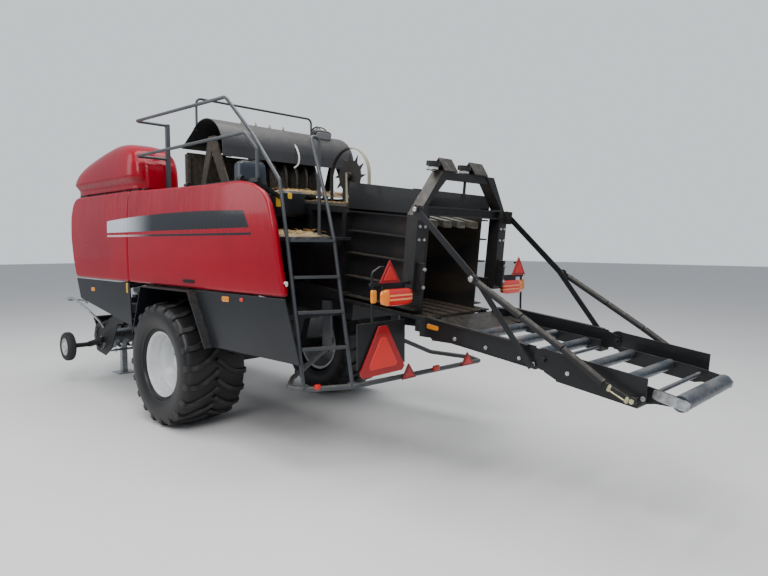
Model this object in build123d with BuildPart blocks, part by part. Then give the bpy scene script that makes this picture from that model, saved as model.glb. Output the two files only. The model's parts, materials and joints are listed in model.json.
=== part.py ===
from build123d import *
import os
from math import cos, pi, radians, sin, tan

# Large square baler on one axle, with a roller chute behind and a drawbar in front.
# Millimetres. The front faces -Y, the machine's left side is +X, the ground is z = 0.

# Wheels
TYRE_R = 680
TYRE_W = 720
TYRE_WALL = 34
LUG_H = 34
LUGS = 20
OVERALL_W = 2910
BEAD_R = 337
RIM_W = 600
RIM_FLANGE_R = 358
RIM_WALL = 12
RIM_DISH = 40
HUB_R = 125
SPINDLE_R = 45
FIT = 0.05
SEAT = 0.3
PIVOT_GAP = 0.3
RUN_GAP = 6

# Pressing chamber, which slopes down towards the rear
BORE_W = 800
BORE_H = 880
CHAMBER_SLOPE = 5.5
CHAMBER_FRONT = -1460
CHAMBER_MOUTH = 3000
AXIS_Z = 2089
WALL_T = 14
RIB_DEPTH = 86
RIB_T = 12
ROOF_T = 30
TENSION_LENGTH = 1020
WALL_LEAN = 22
ROOF_DROP = 120

# Outer panels
PANEL_X = 1305
PANEL_T = 18
PANEL_RIM = 58
PANEL_CORNER = 40
SEAM_GAP = 10
PANEL_BOTTOM = 1525
PANEL_SEAM = -990
HINGE_X = 1228
HINGE_Z = 2600
HINGE_PIN_R = 7
LOWER_PANEL_X = 1300

# Tubes
RAIL_R = 17
BUMPER_R = 24
BUMPER_Z = 713

# Roller chute
CHUTE_X = 600
CHUTE_PLATE_T = 12
ROLLER_HALF = 448
ROLLER_R = 40
LAST_ROLLER_R = 55
CHUTE_REACH = 2035
FOLD = (1168, -623)

# Drawbar and drive
EYE_R = 25
EYE_RING_R = 68
EYE_T = 40
EYE_Z = 600
DRIVE_Z = 1230
FLYWHEEL_R = 330
FLYWHEEL_T = 150
SHAFT_R = 32
STUB_R = 22.2
STUB_LENGTH = 90

# Reach from the axle to the two ends, which puts the middle of the length at y = 0
FRONT_REACH = 3950
REAR_REACH = CHAMBER_MOUTH + CHUTE_REACH + LAST_ROLLER_R
AXLE_Y = (FRONT_REACH - REAR_REACH) / 2

os.makedirs("parts", exist_ok=True)
SIDES = ((1, "left"), (-1, "right"))


def aft(distance):
    """The y of a place that lies this far behind the axle."""
    return AXLE_Y + distance


def save(part, label):
    """Labels a finished piece and writes it."""
    part.label = label
    export_step(part, f"parts/{label}.step")


def save_pair(part, label):
    """Writes a piece of the left side, and its mirror image for the right."""
    save(part, f"left_{label}")
    save(mirror(part, about=Plane.YZ), f"right_{label}")


def block(x, y, z, mode=Mode.ADD):
    """Adds a block between pairs of x, y and z to the piece being built."""
    with Locations(((x[0] + x[1]) / 2, (y[0] + y[1]) / 2, (z[0] + z[1]) / 2)):
        Box(abs(x[1] - x[0]), abs(y[1] - y[0]), abs(z[1] - z[0]), mode=mode)


def plate(outline, x0, x1, base=Plane.YZ, cut=False):
    """Adds a flat plate, cut to an outline on a side plane, between two distances from it."""
    with BuildSketch(base.offset(min(x0, x1))) as shape:
        with BuildLine():
            Polyline(*outline, close=True)
        make_face()
    extrude(shape.sketch, amount=abs(x1 - x0), mode=Mode.SUBTRACT if cut else Mode.ADD)


def tube(route, radius, bend=0, mode=Mode.ADD):
    """Sweeps a round bar along a bent route."""
    with BuildLine() as line:
        if len(route) == 2:
            Line(*route)
        else:
            FilletPolyline(*route, radius=bend)
    with BuildSketch(Plane(origin=line.line @ 0, z_dir=line.line % 0)) as section:
        Circle(radius)
    sweep(section.sketch, path=line.line, mode=mode)


def box_tube(start, end, width, height):
    """Adds a straight rectangular bar between two points."""
    with BuildLine() as line:
        Line(start, end)
    run = line.line % 0
    across = Vector(0, 0, 1).cross(run)
    if across.length < 0.01:
        across = Vector(1, 0, 0)
    with BuildSketch(Plane(origin=start, x_dir=across, z_dir=run)) as section:
        Rectangle(width, height)
    extrude(section.sketch, amount=(Vector(*end) - Vector(*start)).length)


def strut(x0, z0, x1, z1, y, height):
    """Adds a bar across the machine between two upright faces, sloping from one height to the other."""
    with BuildSketch(Plane.XZ.offset(-max(y))) as side_view:
        with BuildLine():
            Polyline((x0, z0 - height / 2), (x0, z0 + height / 2), (x1, z1 + height / 2), (x1, z1 - height / 2),
                     close=True)
        make_face()
    extrude(side_view.sketch, amount=max(y) - min(y))


def cross_bar(y, z, radius, x0, x1, mode=Mode.ADD):
    """Adds a round bar that lies across the machine."""
    with BuildSketch(Plane.YZ.offset(min(x0, x1))) as section:
        with Locations((y, z)):
            Circle(radius)
    extrude(section.sketch, amount=abs(x1 - x0), mode=mode)


# The chamber's own planes: CHAMBER_SIDE has its x along the bale's way and its y upwards
SLOPE = radians(CHAMBER_SLOPE)
MOUTH_Z = round(AXIS_Z - CHAMBER_MOUTH * tan(SLOPE))
ALONG = (0, cos(SLOPE), -sin(SLOPE))
MOUTH = (0, aft(CHAMBER_MOUTH), MOUTH_Z)
CHAMBER_SIDE = Plane(origin=MOUTH, x_dir=ALONG, z_dir=(1, 0, 0))
CHAMBER_TOP = Plane(origin=MOUTH, x_dir=(1, 0, 0), z_dir=(0, sin(SLOPE), cos(SLOPE)))


def chamber_block(x, u, v):
    """Adds a block in the chamber's frame: across, along from the mouth, and up from its axis."""
    with BuildSketch(CHAMBER_TOP.offset(v[0])) as shape:
        with Locations(((x[0] + x[1]) / 2, (u[0] + u[1]) / 2)):
            Rectangle(abs(x[1] - x[0]), abs(u[1] - u[0]))
    extrude(shape.sketch, amount=v[1] - v[0])


def leaning_block(front, rear, u, v):
    """Adds a block in the chamber's frame whose pair of sides moves from one place to another on its way back."""
    with BuildSketch(CHAMBER_TOP.offset(v[0])) as shape:
        with BuildLine():
            Polyline((front[0], u[0]), (front[1], u[0]), (rear[1], u[1]), (rear[0], u[1]), close=True)
        make_face()
    extrude(shape.sketch, amount=v[1] - v[0])


def from_axle(distance):
    """How far along the chamber from its mouth a place lies, by its distance behind the axle."""
    return (distance - CHAMBER_MOUTH) / cos(SLOPE)


def past_mouth(back, up):
    """The y and z of a place, by its distance behind the mouth and its height over the mouth's middle."""
    return aft(CHAMBER_MOUTH + back), MOUTH_Z + up


def chamber_z(distance, v):
    """The height of a place in the chamber's frame, by its distance behind the axle."""
    return MOUTH_Z - (distance - CHAMBER_MOUTH) * tan(SLOPE) + v / cos(SLOPE)


HALF_BORE = BORE_W / 2
HALF_HEIGHT = BORE_H / 2
WALL_OUT = HALF_BORE + WALL_T
RIB_OUT = WALL_OUT + RIB_DEPTH
TYRE_X = OVERALL_W / 2 - TYRE_W / 2

# Axle beam with a spindle for each wheel
AXLE_TUBE = 150
AXLE_HALF = TYRE_X - RIM_W / 2 - 90
HUB_IN = TYRE_X - 70
HUB_OUT = TYRE_X + 130
SPINDLE_END = HUB_OUT - 40
with BuildPart() as axle_beam:
    block((-AXLE_HALF, AXLE_HALF), (aft(-AXLE_TUBE / 2), aft(AXLE_TUBE / 2)),
          (TYRE_R - AXLE_TUBE / 2, TYRE_R + AXLE_TUBE / 2))
    cross_bar(AXLE_Y, TYRE_R, SPINDLE_R + 22, -HUB_IN + 6, HUB_IN - 6)
    cross_bar(AXLE_Y, TYRE_R, SPINDLE_R, -SPINDLE_END, SPINDLE_END)
save(axle_beam.part, "axle_beam")

# Tyres and rims
WHEEL_AXIS = Axis((0, AXLE_Y, TYRE_R), (1, 0, 0))
TYRE_HALF = TYRE_W / 2
CROWN_R = TYRE_R - LUG_H
BEAD_OUT = RIM_W / 2 - RIM_WALL - SEAT
# The carcass from bead to crown, by distance from its middle and radius
WALL_OUTSIDE = ((BEAD_OUT, BEAD_R), (BEAD_OUT, RIM_FLANGE_R + 4), (TYRE_HALF - 10, 450), (TYRE_HALF, 520),
                (TYRE_HALF - 16, CROWN_R - 42), (TYRE_HALF - 44, CROWN_R))
WALL_INSIDE = ((RIM_W / 2 - 44, BEAD_R), (TYRE_HALF - TYRE_WALL, 500), (TYRE_HALF - 70, CROWN_R - TYRE_WALL))
# One lug seen from above the tread: across from the middle line, and back along the tread
LUG_PLAN = ((352, 90), (225, 88), (95, 22), (-22, -84), (8, -118), (120, -28), (235, 36), (352, 36))
LUG_TOP = (TYRE_R ** 2 - 118 ** 2) ** 0.5
LUG_FOOT = CROWN_R - 20
wheel_plane = Plane(origin=(TYRE_X, AXLE_Y, TYRE_R), x_dir=(1, 0, 0), z_dir=(0, -1, 0))
with BuildPart() as tyre:
    with BuildSketch(wheel_plane) as carcass:
        with BuildLine():
            Polyline(*WALL_OUTSIDE, *[(-x, r) for x, r in reversed(WALL_OUTSIDE)],
                     *[(-x, r) for x, r in WALL_INSIDE], *reversed(WALL_INSIDE), close=True)
        make_face()
    revolve(axis=WHEEL_AXIS)
    for half in (1, -1):
        with BuildSketch(Plane.XY.offset(TYRE_R + LUG_FOOT)) as lug_plan:
            with BuildLine():
                Polyline(*[(TYRE_X + half * x, AXLE_Y + y) for x, y in LUG_PLAN], close=True)
            make_face()
        lug = extrude(lug_plan.sketch, amount=LUG_TOP - LUG_FOOT, mode=Mode.PRIVATE)
        add([lug.rotate(WHEEL_AXIS, (number + (1 + half) / 4) * 360 / LUGS) for number in range(LUGS)])
    with BuildSketch(wheel_plane) as shoulders:
        for half in (1, -1):
            with BuildLine():
                Polyline((half * 316, TYRE_R + 20), (half * 316, TYRE_R - 2), (half * 356, CROWN_R - 40),
                         (half * 400, CROWN_R - 40), (half * 400, TYRE_R + 20), close=True)
            make_face()
    revolve(shoulders.sketch, axis=WHEEL_AXIS, mode=Mode.SUBTRACT)
save_pair(tyre.part, "tyre")

# Deep-dished rim: barrel, flanges, disc and hub, with the disc set in from the outer side
with BuildPart() as rim:
    with BuildSketch(wheel_plane):
        with BuildLine():
            Polyline((-RIM_W / 2, RIM_FLANGE_R), (-RIM_W / 2, BEAD_R - RIM_WALL),
                     (RIM_DISH - 10, BEAD_R - RIM_WALL), (RIM_DISH + 20, 250),
                     (RIM_DISH + 20, HUB_R), (HUB_IN - TYRE_X, HUB_R), (HUB_IN - TYRE_X, SPINDLE_R + FIT),
                     (SPINDLE_END - TYRE_X + SEAT, SPINDLE_R + FIT), (SPINDLE_END - TYRE_X + SEAT, 0),
                     (HUB_OUT - TYRE_X, 0), (HUB_OUT - TYRE_X, 60), (HUB_OUT - TYRE_X - 60, 70),
                     (HUB_OUT - TYRE_X - 60, HUB_R), (RIM_DISH + 32, HUB_R), (RIM_DISH + 32, 260),
                     (RIM_DISH + 6, BEAD_R - RIM_WALL - 6), (RIM_W / 2, BEAD_R - RIM_WALL),
                     (RIM_W / 2, RIM_FLANGE_R), (RIM_W / 2 - RIM_WALL, RIM_FLANGE_R),
                     (RIM_W / 2 - RIM_WALL, BEAD_R - SEAT), (-RIM_W / 2 + RIM_WALL, BEAD_R - SEAT),
                     (-RIM_W / 2 + RIM_WALL, RIM_FLANGE_R), close=True)
        make_face()
    revolve(axis=WHEEL_AXIS)
save_pair(rim.part, "rim")

# Pressing chamber: two ribbed walls that lean in behind TENSION_U, around an open tunnel
FRONT_U = from_axle(CHAMBER_FRONT)
TENSION_U = -TENSION_LENGTH
WALL_END = -125
FLOOR_END = -20
SIDE_RIBS = (-400, -210, 10, 220, 400, HALF_HEIGHT - RIB_T / 2)
UPRIGHTS = (CHAMBER_FRONT + 60, -962, -285, 312, 860, 1407)
for side, name in SIDES:
    with BuildPart() as wall:
        chamber_block((side * HALF_BORE, side * WALL_OUT), (FRONT_U, TENSION_U), (-HALF_HEIGHT, HALF_HEIGHT))
        leaning_block((side * HALF_BORE, side * WALL_OUT), (side * (HALF_BORE - WALL_LEAN), side * (WALL_OUT - WALL_LEAN)),
                      (TENSION_U, WALL_END), (-HALF_HEIGHT, HALF_HEIGHT))
        for v in SIDE_RIBS:
            leaning_block((side * (WALL_OUT - 4), side * RIB_OUT), (side * (WALL_OUT - WALL_LEAN - 4), side * RIB_OUT),
                          (TENSION_U, WALL_END), (v - RIB_T / 2, v + RIB_T / 2))
        for u in [from_axle(distance) for distance in UPRIGHTS] + [TENSION_U - 60]:
            chamber_block((side * WALL_OUT, side * RIB_OUT), (u - 30, u + 30), (-HALF_HEIGHT, HALF_HEIGHT))
        chamber_block((side * WALL_OUT, side * RIB_OUT), (FRONT_U, TENSION_U), (-HALF_HEIGHT, -HALF_HEIGHT + 60))
        chamber_block((side * WALL_OUT, side * RIB_OUT), (FRONT_U, TENSION_U), (HALF_HEIGHT - 60, HALF_HEIGHT))
    save(wall.part, f"chamber_{name}_wall")

SLAT_TEETH = 3
TOOTH = 30


def slat_teeth(middle, width, end, v):
    """Cuts the rear end of a slat into teeth, seen from above the chamber."""
    pitch = width / SLAT_TEETH
    with BuildSketch(CHAMBER_TOP.offset(v[0])) as notches:
        for number in range(SLAT_TEETH + 1):
            x = middle - width / 2 + number * pitch
            with BuildLine():
                Polyline((x - pitch / 2, end + 1), (x, end - TOOTH), (x + pitch / 2, end + 1), close=True)
            make_face()
    extrude(notches.sketch, amount=v[1] - v[0], mode=Mode.SUBTRACT)


FLOOR_SLATS = 5
SLAT_PITCH = BORE_W / FLOOR_SLATS
SLAT_W = 120
FLOOR_V = -HALF_HEIGHT
with BuildPart() as chamber_floor:
    for number in range(FLOOR_SLATS):
        middle = (number - (FLOOR_SLATS - 1) / 2) * SLAT_PITCH
        chamber_block((middle - SLAT_W / 2, middle + SLAT_W / 2), (FRONT_U, FLOOR_END), (FLOOR_V - 12, FLOOR_V))
        slat_teeth(middle, SLAT_W, FLOOR_END, (FLOOR_V - 20, FLOOR_V + 5))
    for side, name in SIDES:
        chamber_block((side * HALF_BORE, side * RIB_OUT), (FRONT_U, FLOOR_END), (FLOOR_V - 12, FLOOR_V))
    chamber_block((-RIB_OUT, RIB_OUT), (FRONT_U, FLOOR_END - TOOTH), (FLOOR_V - ROOF_T, FLOOR_V - 10))
save(chamber_floor.part, "chamber_floor")

# The roof is closed down to TENSION_U; behind it four toothed slats slope down into the tunnel
ROOF_SLATS = (-300, -100, 100, 300)
ROOF_SLAT_W = 100
ROOF_SLAT_T = 60
with BuildPart() as chamber_roof:
    for x in ROOF_SLATS:
        plate(((TENSION_U - 80, HALF_HEIGHT), (TENSION_U - 40, HALF_HEIGHT), (WALL_END, HALF_HEIGHT - ROOF_DROP),
               (WALL_END, HALF_HEIGHT - ROOF_DROP + ROOF_SLAT_T), (TENSION_U - 40, HALF_HEIGHT + ROOF_SLAT_T),
               (TENSION_U - 80, HALF_HEIGHT + ROOF_SLAT_T)), x - ROOF_SLAT_W / 2, x + ROOF_SLAT_W / 2, base=CHAMBER_SIDE)
        slat_teeth(x, ROOF_SLAT_W, WALL_END, (HALF_HEIGHT - ROOF_DROP - 20, HALF_HEIGHT))
    chamber_block((-RIB_OUT, RIB_OUT), (FRONT_U, TENSION_U - 40), (HALF_HEIGHT, HALF_HEIGHT + ROOF_T))
    chamber_block((-RIB_OUT, RIB_OUT), (TENSION_U, TENSION_U + 80), (HALF_HEIGHT, HALF_HEIGHT + ROOF_SLAT_T))
    chamber_block((-375, 375), (TENSION_U / 2 - 40, TENSION_U / 2 + 40), (HALF_HEIGHT - 22, HALF_HEIGHT + 30))
save(chamber_roof.part, "chamber_roof")

# Deep side beams on top of the squeezing section
RING_U = -80
POST = 120
TOP_BEAM_END = RING_U - POST / 2 - SEAT
with BuildPart() as top_beams:
    for side, name in SIDES:
        plate(((TENSION_U, HALF_HEIGHT - RIB_T), (TOP_BEAM_END, HALF_HEIGHT - RIB_T), (TOP_BEAM_END, HALF_HEIGHT + 190),
               (TENSION_U, HALF_HEIGHT + 230)), side * RIB_OUT, side * (RIB_OUT + 14), base=CHAMBER_SIDE)
        chamber_block((side * 380, side * RIB_OUT), (TENSION_U, TENSION_U + 14),
                      (HALF_HEIGHT + 60, HALF_HEIGHT + 230))
        chamber_block((side * 380, side * RIB_OUT), (-500, TOP_BEAM_END), (HALF_HEIGHT + 60, HALF_HEIGHT + 74))
    chamber_block((-RIB_OUT, RIB_OUT), (TENSION_U, TENSION_U + 14), (HALF_HEIGHT + 60, HALF_HEIGHT + 160))
save(top_beams.part, "top_beams")

# Tension ring: posts beside the chamber, inclined arms, an I-beam over the slats and a gantry on top
POST_IN = 534
POST_OUT = POST_IN + POST
ARM_TOP_X = 315
POST_BOTTOM = -250
KNEE_V = 360
GANTRY_V = 800
GANTRY_H = 65
BEAM_U = RING_U + 5
BEAM_V = 460
BEAM_W = 90
BEAM_H = 80
RING_LUG = (POST_OUT - 16, POST_OUT + 1)
# Folded rests for the raised chute, by the x of their ends, and a round pad beside each
RESTS = ((200, 380), (-250, -50))
REST_HALF = 80
REST_H = 105
REST_T = 8
PAD_R = 60
PAD_STEP = 62
# Round solids that stand on the chamber's slope: the x, radius, foot and height of each
HANGER = ((-15, 13, GANTRY_V - GANTRY_H - 130, 135), (-15, 22, GANTRY_V - GANTRY_H - 175, 70))


def stud(x, u, radius, foot, height):
    """Adds a round solid that stands at right angles to the chamber's axis."""
    with BuildSketch(CHAMBER_TOP.offset(foot)) as section:
        with Locations((x, u)):
            Circle(radius)
    extrude(section.sketch, amount=height)


with BuildPart() as tension_ring:
    for side, name in SIDES:
        chamber_block((side * POST_IN, side * POST_OUT), (RING_U - POST / 2, RING_U + POST / 2), (POST_BOTTOM, KNEE_V))
        with BuildSketch(Plane(origin=MOUTH, x_dir=(1, 0, 0), z_dir=(0, -cos(SLOPE), sin(SLOPE))).offset(
                -RING_U - POST / 2)) as arm:
            with BuildLine():
                Polyline((side * POST_IN, KNEE_V - 60), (side * POST_OUT, KNEE_V - 60),
                         (side * POST_OUT, KNEE_V + 60), (side * (ARM_TOP_X + 60), GANTRY_V),
                         (side * (ARM_TOP_X - 60), GANTRY_V), (side * POST_IN, KNEE_V + 150), close=True)
            make_face()
        extrude(arm.sketch, amount=POST)
        chamber_block((side * RIB_OUT, side * POST_IN), (RING_U - 130, RING_U), (-230, -150))
        chamber_block((side * RING_LUG[0], side * RING_LUG[1]), (RING_U + 5, RING_U + 115), (380, 500))
        chamber_block((side * (POST_IN + 45), side * (POST_OUT - 45)), (RING_U + POST / 2 - 5, RING_U + 120), (-220, 30))
    with BuildSketch(CHAMBER_SIDE.offset(-POST_IN)) as beam:
        with Locations((BEAM_U, BEAM_V)):
            Rectangle(BEAM_W, BEAM_H)
        with Locations((BEAM_U - 28, BEAM_V), (BEAM_U + 28, BEAM_V)):
            Rectangle(38, BEAM_H - 24, mode=Mode.SUBTRACT)
    extrude(beam.sketch, amount=2 * POST_IN)
    chamber_block((-ARM_TOP_X, ARM_TOP_X), (RING_U - 50, RING_U + 50), (GANTRY_V - GANTRY_H, GANTRY_V))
    for x0, x1 in RESTS:
        chamber_block((x0, x1), (RING_U - REST_HALF, RING_U + REST_HALF), (GANTRY_V, GANTRY_V + REST_T))
        chamber_block((x1 - 20, x1 + PAD_STEP + 35), (RING_U - 45, RING_U + 45), (GANTRY_V, GANTRY_V + REST_T))
        stud(x1 + PAD_STEP, RING_U, PAD_R / 2, GANTRY_V, 40)
        stud(x1 + PAD_STEP, RING_U, PAD_R, GANTRY_V + 36, 40)
        plate(((RING_U - REST_HALF, GANTRY_V + REST_T), (RING_U, GANTRY_V + REST_T + REST_H),
               (RING_U + REST_HALF, GANTRY_V + REST_T), (RING_U + REST_HALF - 12, GANTRY_V + REST_T),
               (RING_U, GANTRY_V + REST_H - REST_T), (RING_U - REST_HALF + 12, GANTRY_V + REST_T)), x0, x1, base=CHAMBER_SIDE)
    for x, radius, foot, height in HANGER:
        stud(x, RING_U, radius, foot, height)
save(tension_ring.part, "tension_ring")

# Main frame: two rails under the chamber, cross members, legs to the axle and a front portal
RAIL_TOP_V = -HALF_HEIGHT - ROOF_T
RAIL_H = 160
RAIL_END = -900
FRAME_IN = 380
FRAME_OUT = 480
AXLE_TOP = TYRE_R + AXLE_TUBE / 2
PORTAL_Y = -2050
PORTAL_T = 110
PICKUP_PIVOT = (-2000, 980)
PIVOT_R = 22
PORTAL_BOTTOM = 860
PORTAL_CROSS = PORTAL_BOTTOM + 120
with BuildPart() as main_frame:
    for side, name in SIDES:
        chamber_block((side * FRAME_IN, side * FRAME_OUT), (from_axle(PORTAL_Y - 76), RAIL_END),
                      (RAIL_TOP_V - RAIL_H, RAIL_TOP_V))
        plate(((aft(-420), chamber_z(-420, RAIL_TOP_V - 40)), (aft(420), chamber_z(420, RAIL_TOP_V - 40)),
               (aft(140), AXLE_TOP), (aft(-140), AXLE_TOP)), side * FRAME_IN, side * FRAME_OUT)
        block((side * FRAME_IN, side * FRAME_OUT), (aft(PORTAL_Y - PORTAL_T), aft(PORTAL_Y)),
              (PORTAL_BOTTOM, chamber_z(PORTAL_Y, RAIL_TOP_V - 60)))
        plate(((aft(PORTAL_Y), PORTAL_BOTTOM), (aft(PORTAL_Y), PORTAL_BOTTOM + 160), (aft(-300), 1250), (aft(-300), 1130)),
              side * FRAME_IN, side * FRAME_OUT)
    for u in (from_axle(PORTAL_Y + 13), from_axle(-285), from_axle(1308), RAIL_END - 60):
        chamber_block((-FRAME_IN, FRAME_IN), (u - 50, u + 50), (RAIL_TOP_V - RAIL_H, RAIL_TOP_V - 40))
    block((-FRAME_IN, FRAME_IN), (aft(PORTAL_Y - PORTAL_T), aft(PORTAL_Y)), (PORTAL_BOTTOM, PORTAL_CROSS))
    for side, name in SIDES:
        block((side * FRAME_OUT, side * (FRAME_OUT + 60)), (aft(PORTAL_Y - PORTAL_T), aft(PORTAL_Y + 130)), (880, 1080))
        cross_bar(aft(PICKUP_PIVOT[0]), PICKUP_PIVOT[1], PIVOT_R + PIVOT_GAP, side * (FRAME_OUT + 8),
                  side * (FRAME_OUT + 60), Mode.SUBTRACT)
save(main_frame.part, "main_frame")

# Drawbar: two beams over the pickup that bend down and meet at the towing eye's tongue
EYE_Y = FRONT_REACH - EYE_RING_R
DRAWBAR_H = 130
DRAWBAR_REAR = (430, PORTAL_Y - PORTAL_T - 15, 1045)
DRAWBAR_KNEE = (350, -3050, 1005)
DRAWBAR_TIP = (85, -3600, EYE_Z + 15)
STAND_TOP = DRIVE_Z - 70
JACK_X = 470
JACK_Y = -3130
JACK_SLEEVE = 100
with BuildPart() as drawbar:
    for side, name in SIDES:
        ends = [(side * x, aft(y), z) for x, y, z in (DRAWBAR_REAR, DRAWBAR_KNEE, DRAWBAR_TIP)]
        box_tube(ends[0], ends[1], 100, DRAWBAR_H)
        box_tube(ends[1], ends[2], 100, DRAWBAR_H)
        with Locations(ends[1]):
            Cylinder(50, DRAWBAR_H)
        block((side * 330, side * 500), (aft(DRAWBAR_REAR[1] - 20), aft(PORTAL_Y - PORTAL_T)),
              (PORTAL_CROSS - 20, DRAWBAR_REAR[2] + 80))
    block((320, JACK_X - JACK_SLEEVE / 2 - SEAT), (aft(JACK_Y - 40), aft(JACK_Y + 40)), (900, 1040))
    block((-130, 130), (aft(-3720), aft(-3480)), (EYE_Z - 75, EYE_Z + 75))
    block((-160, 160), (aft(-3560), aft(-3500)), (EYE_Z, STAND_TOP - 40))
    block((-110, 110), (aft(-3590), aft(-3470)), (STAND_TOP - 40, STAND_TOP))
save(drawbar.part, "drawbar")

with BuildPart() as hitch_eye:
    block((-55, 55), (aft(-EYE_Y), aft(-3720)), (EYE_Z - EYE_T / 2, EYE_Z + EYE_T / 2))
    block((-75, 75), (aft(-3740), aft(-3720)), (EYE_Z - 70, EYE_Z + 70))
    with Locations((0, aft(-EYE_Y), EYE_Z)):
        Cylinder(EYE_RING_R, EYE_T)
    with Locations((0, aft(-EYE_Y), EYE_Z)):
        Cylinder(EYE_R, EYE_T, mode=Mode.SUBTRACT)
save(hitch_eye.part, "hitch_eye")

# Parking jack: a fixed sleeve on the drawbar's left beam and a sliding leg with its foot
JACK_WALL = 8
JACK_LEG = JACK_SLEEVE - 2 * JACK_WALL - 2 * PIVOT_GAP
JACK_TOP = 1180
JACK_SLEEVE_BOTTOM = 480
with BuildPart() as jack_sleeve:
    with BuildSketch(Plane.XY.offset(JACK_SLEEVE_BOTTOM)):
        with Locations((JACK_X, aft(JACK_Y))):
            Rectangle(JACK_SLEEVE, JACK_SLEEVE)
            Rectangle(JACK_SLEEVE - 2 * JACK_WALL, JACK_SLEEVE - 2 * JACK_WALL, mode=Mode.SUBTRACT)
    extrude(amount=JACK_TOP - JACK_SLEEVE_BOTTOM)
    block((JACK_X - 50, JACK_X + 50), (aft(JACK_Y - 50), aft(JACK_Y + 50)), (JACK_TOP, JACK_TOP + 20))
    with Locations((JACK_X, aft(JACK_Y), JACK_TOP + 50)):
        Cylinder(22, 60)
save(jack_sleeve.part, "jack_sleeve")
with BuildPart() as jack_leg:
    block((JACK_X - JACK_LEG / 2, JACK_X + JACK_LEG / 2), (aft(JACK_Y - JACK_LEG / 2), aft(JACK_Y + JACK_LEG / 2)), (16, 860))
    block((JACK_X - 130, JACK_X + 130), (aft(JACK_Y - 130), aft(JACK_Y + 130)), (0, 16))
save(jack_leg.part, "jack_leg")

# Gearbox block behind the flywheel, and the plunger's crank housing on the chamber's front end
GEARBOX_FRONT = -2560
HOUSING_REAR = CHAMBER_FRONT - 100
with BuildPart() as main_gearbox:
    block((-290, 290), (aft(GEARBOX_FRONT), aft(PORTAL_Y - PORTAL_T)), (PORTAL_CROSS, 2050))
    block((-370, 370), (aft(PORTAL_Y - PORTAL_T), aft(HOUSING_REAR)),
          (chamber_z(HOUSING_REAR, -HALF_HEIGHT), 2350))
    with BuildSketch(Plane.XZ.offset(-aft(GEARBOX_FRONT))) as nose:
        with Locations((0, DRIVE_Z)):
            Circle(130)
            Circle(SHAFT_R + FIT, mode=Mode.SUBTRACT)
    extrude(nose.sketch, amount=90)
    with BuildSketch(Plane.XZ.offset(-aft(GEARBOX_FRONT))) as bore:
        with Locations((0, DRIVE_Z)):
            Circle(SHAFT_R + FIT)
    extrude(bore.sketch, amount=-60, mode=Mode.SUBTRACT)
save(main_gearbox.part, "main_gearbox")

# Driveline: flywheel and input shaft turn together
FLYWHEEL_BACK = GEARBOX_FRONT - 90 - 20
STUB_FRONT = -3760
with BuildPart() as flywheel:
    with BuildSketch(Plane.XZ.offset(-aft(FLYWHEEL_BACK))):
        with Locations((0, DRIVE_Z)):
            Circle(FLYWHEEL_R)
            Circle(SHAFT_R, mode=Mode.SUBTRACT)
    extrude(amount=FLYWHEEL_T)
save(flywheel.part, "flywheel")
with BuildPart() as input_shaft:
    with BuildSketch(Plane.XZ.offset(-aft(GEARBOX_FRONT + 60 - SEAT))):
        with Locations((0, DRIVE_Z)):
            Circle(SHAFT_R)
    extrude(amount=-STUB_FRONT - STUB_LENGTH + GEARBOX_FRONT + 60 - SEAT)
    with BuildSketch(Plane.XZ.offset(-aft(STUB_FRONT + STUB_LENGTH))):
        with Locations((0, DRIVE_Z)):
            Circle(STUB_R)
    extrude(amount=STUB_LENGTH)
save(input_shaft.part, "input_shaft")

# Guard tube around the input shaft, carried by the drawbar's stand
GUARD_R = 70
with BuildPart() as shaft_guard:
    with BuildSketch(Plane.XZ.offset(-aft(-2900))):
        with Locations((0, DRIVE_Z)):
            Circle(GUARD_R)
            Circle(GUARD_R - 6, mode=Mode.SUBTRACT)
    extrude(amount=740)
save(shaft_guard.part, "shaft_guard")

# Feed duct: a curved channel from the pickup up to the chamber's floor, open at its front
DUCT_T = 12
DUCT_HALF = FRAME_IN - 4
DUCT_TOP = 700
DUCT_MOUTH = -2105


def duct_section(x, wall):
    """Draws the feed duct's side outline on a side plane, set in by its wall."""
    rear = -780 - wall
    front = -1560 + wall
    mouth = DUCT_MOUTH - wall
    with BuildSketch(Plane.YZ.offset(x)) as section:
        with BuildLine():
            Line((aft(mouth), 420 + wall), (aft(-1750), 400 + wall))
            ThreePointArc((aft(-1750), 400 + wall), (aft(-1050 - wall), 720 + wall),
                          (aft(rear), chamber_z(rear, RAIL_TOP_V) - wall))
            Line((aft(rear), chamber_z(rear, RAIL_TOP_V) - wall), (aft(front), chamber_z(front, RAIL_TOP_V) - wall))
            ThreePointArc((aft(front), chamber_z(front, RAIL_TOP_V) - wall), (aft(-1600 + wall), 1130),
                          (aft(-2020), DUCT_TOP - wall))
            Line((aft(-2020), DUCT_TOP - wall), (aft(mouth), DUCT_TOP - wall))
            Line((aft(mouth), DUCT_TOP - wall), (aft(mouth), 420 + wall))
        make_face()
    return section.sketch


with BuildPart() as feed_duct:
    extrude(duct_section(-DUCT_HALF, 0), amount=2 * DUCT_HALF)
    extrude(duct_section(-DUCT_HALF + DUCT_T, DUCT_T), amount=2 * (DUCT_HALF - DUCT_T), mode=Mode.SUBTRACT)
save(feed_duct.part, "feed_duct")

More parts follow.
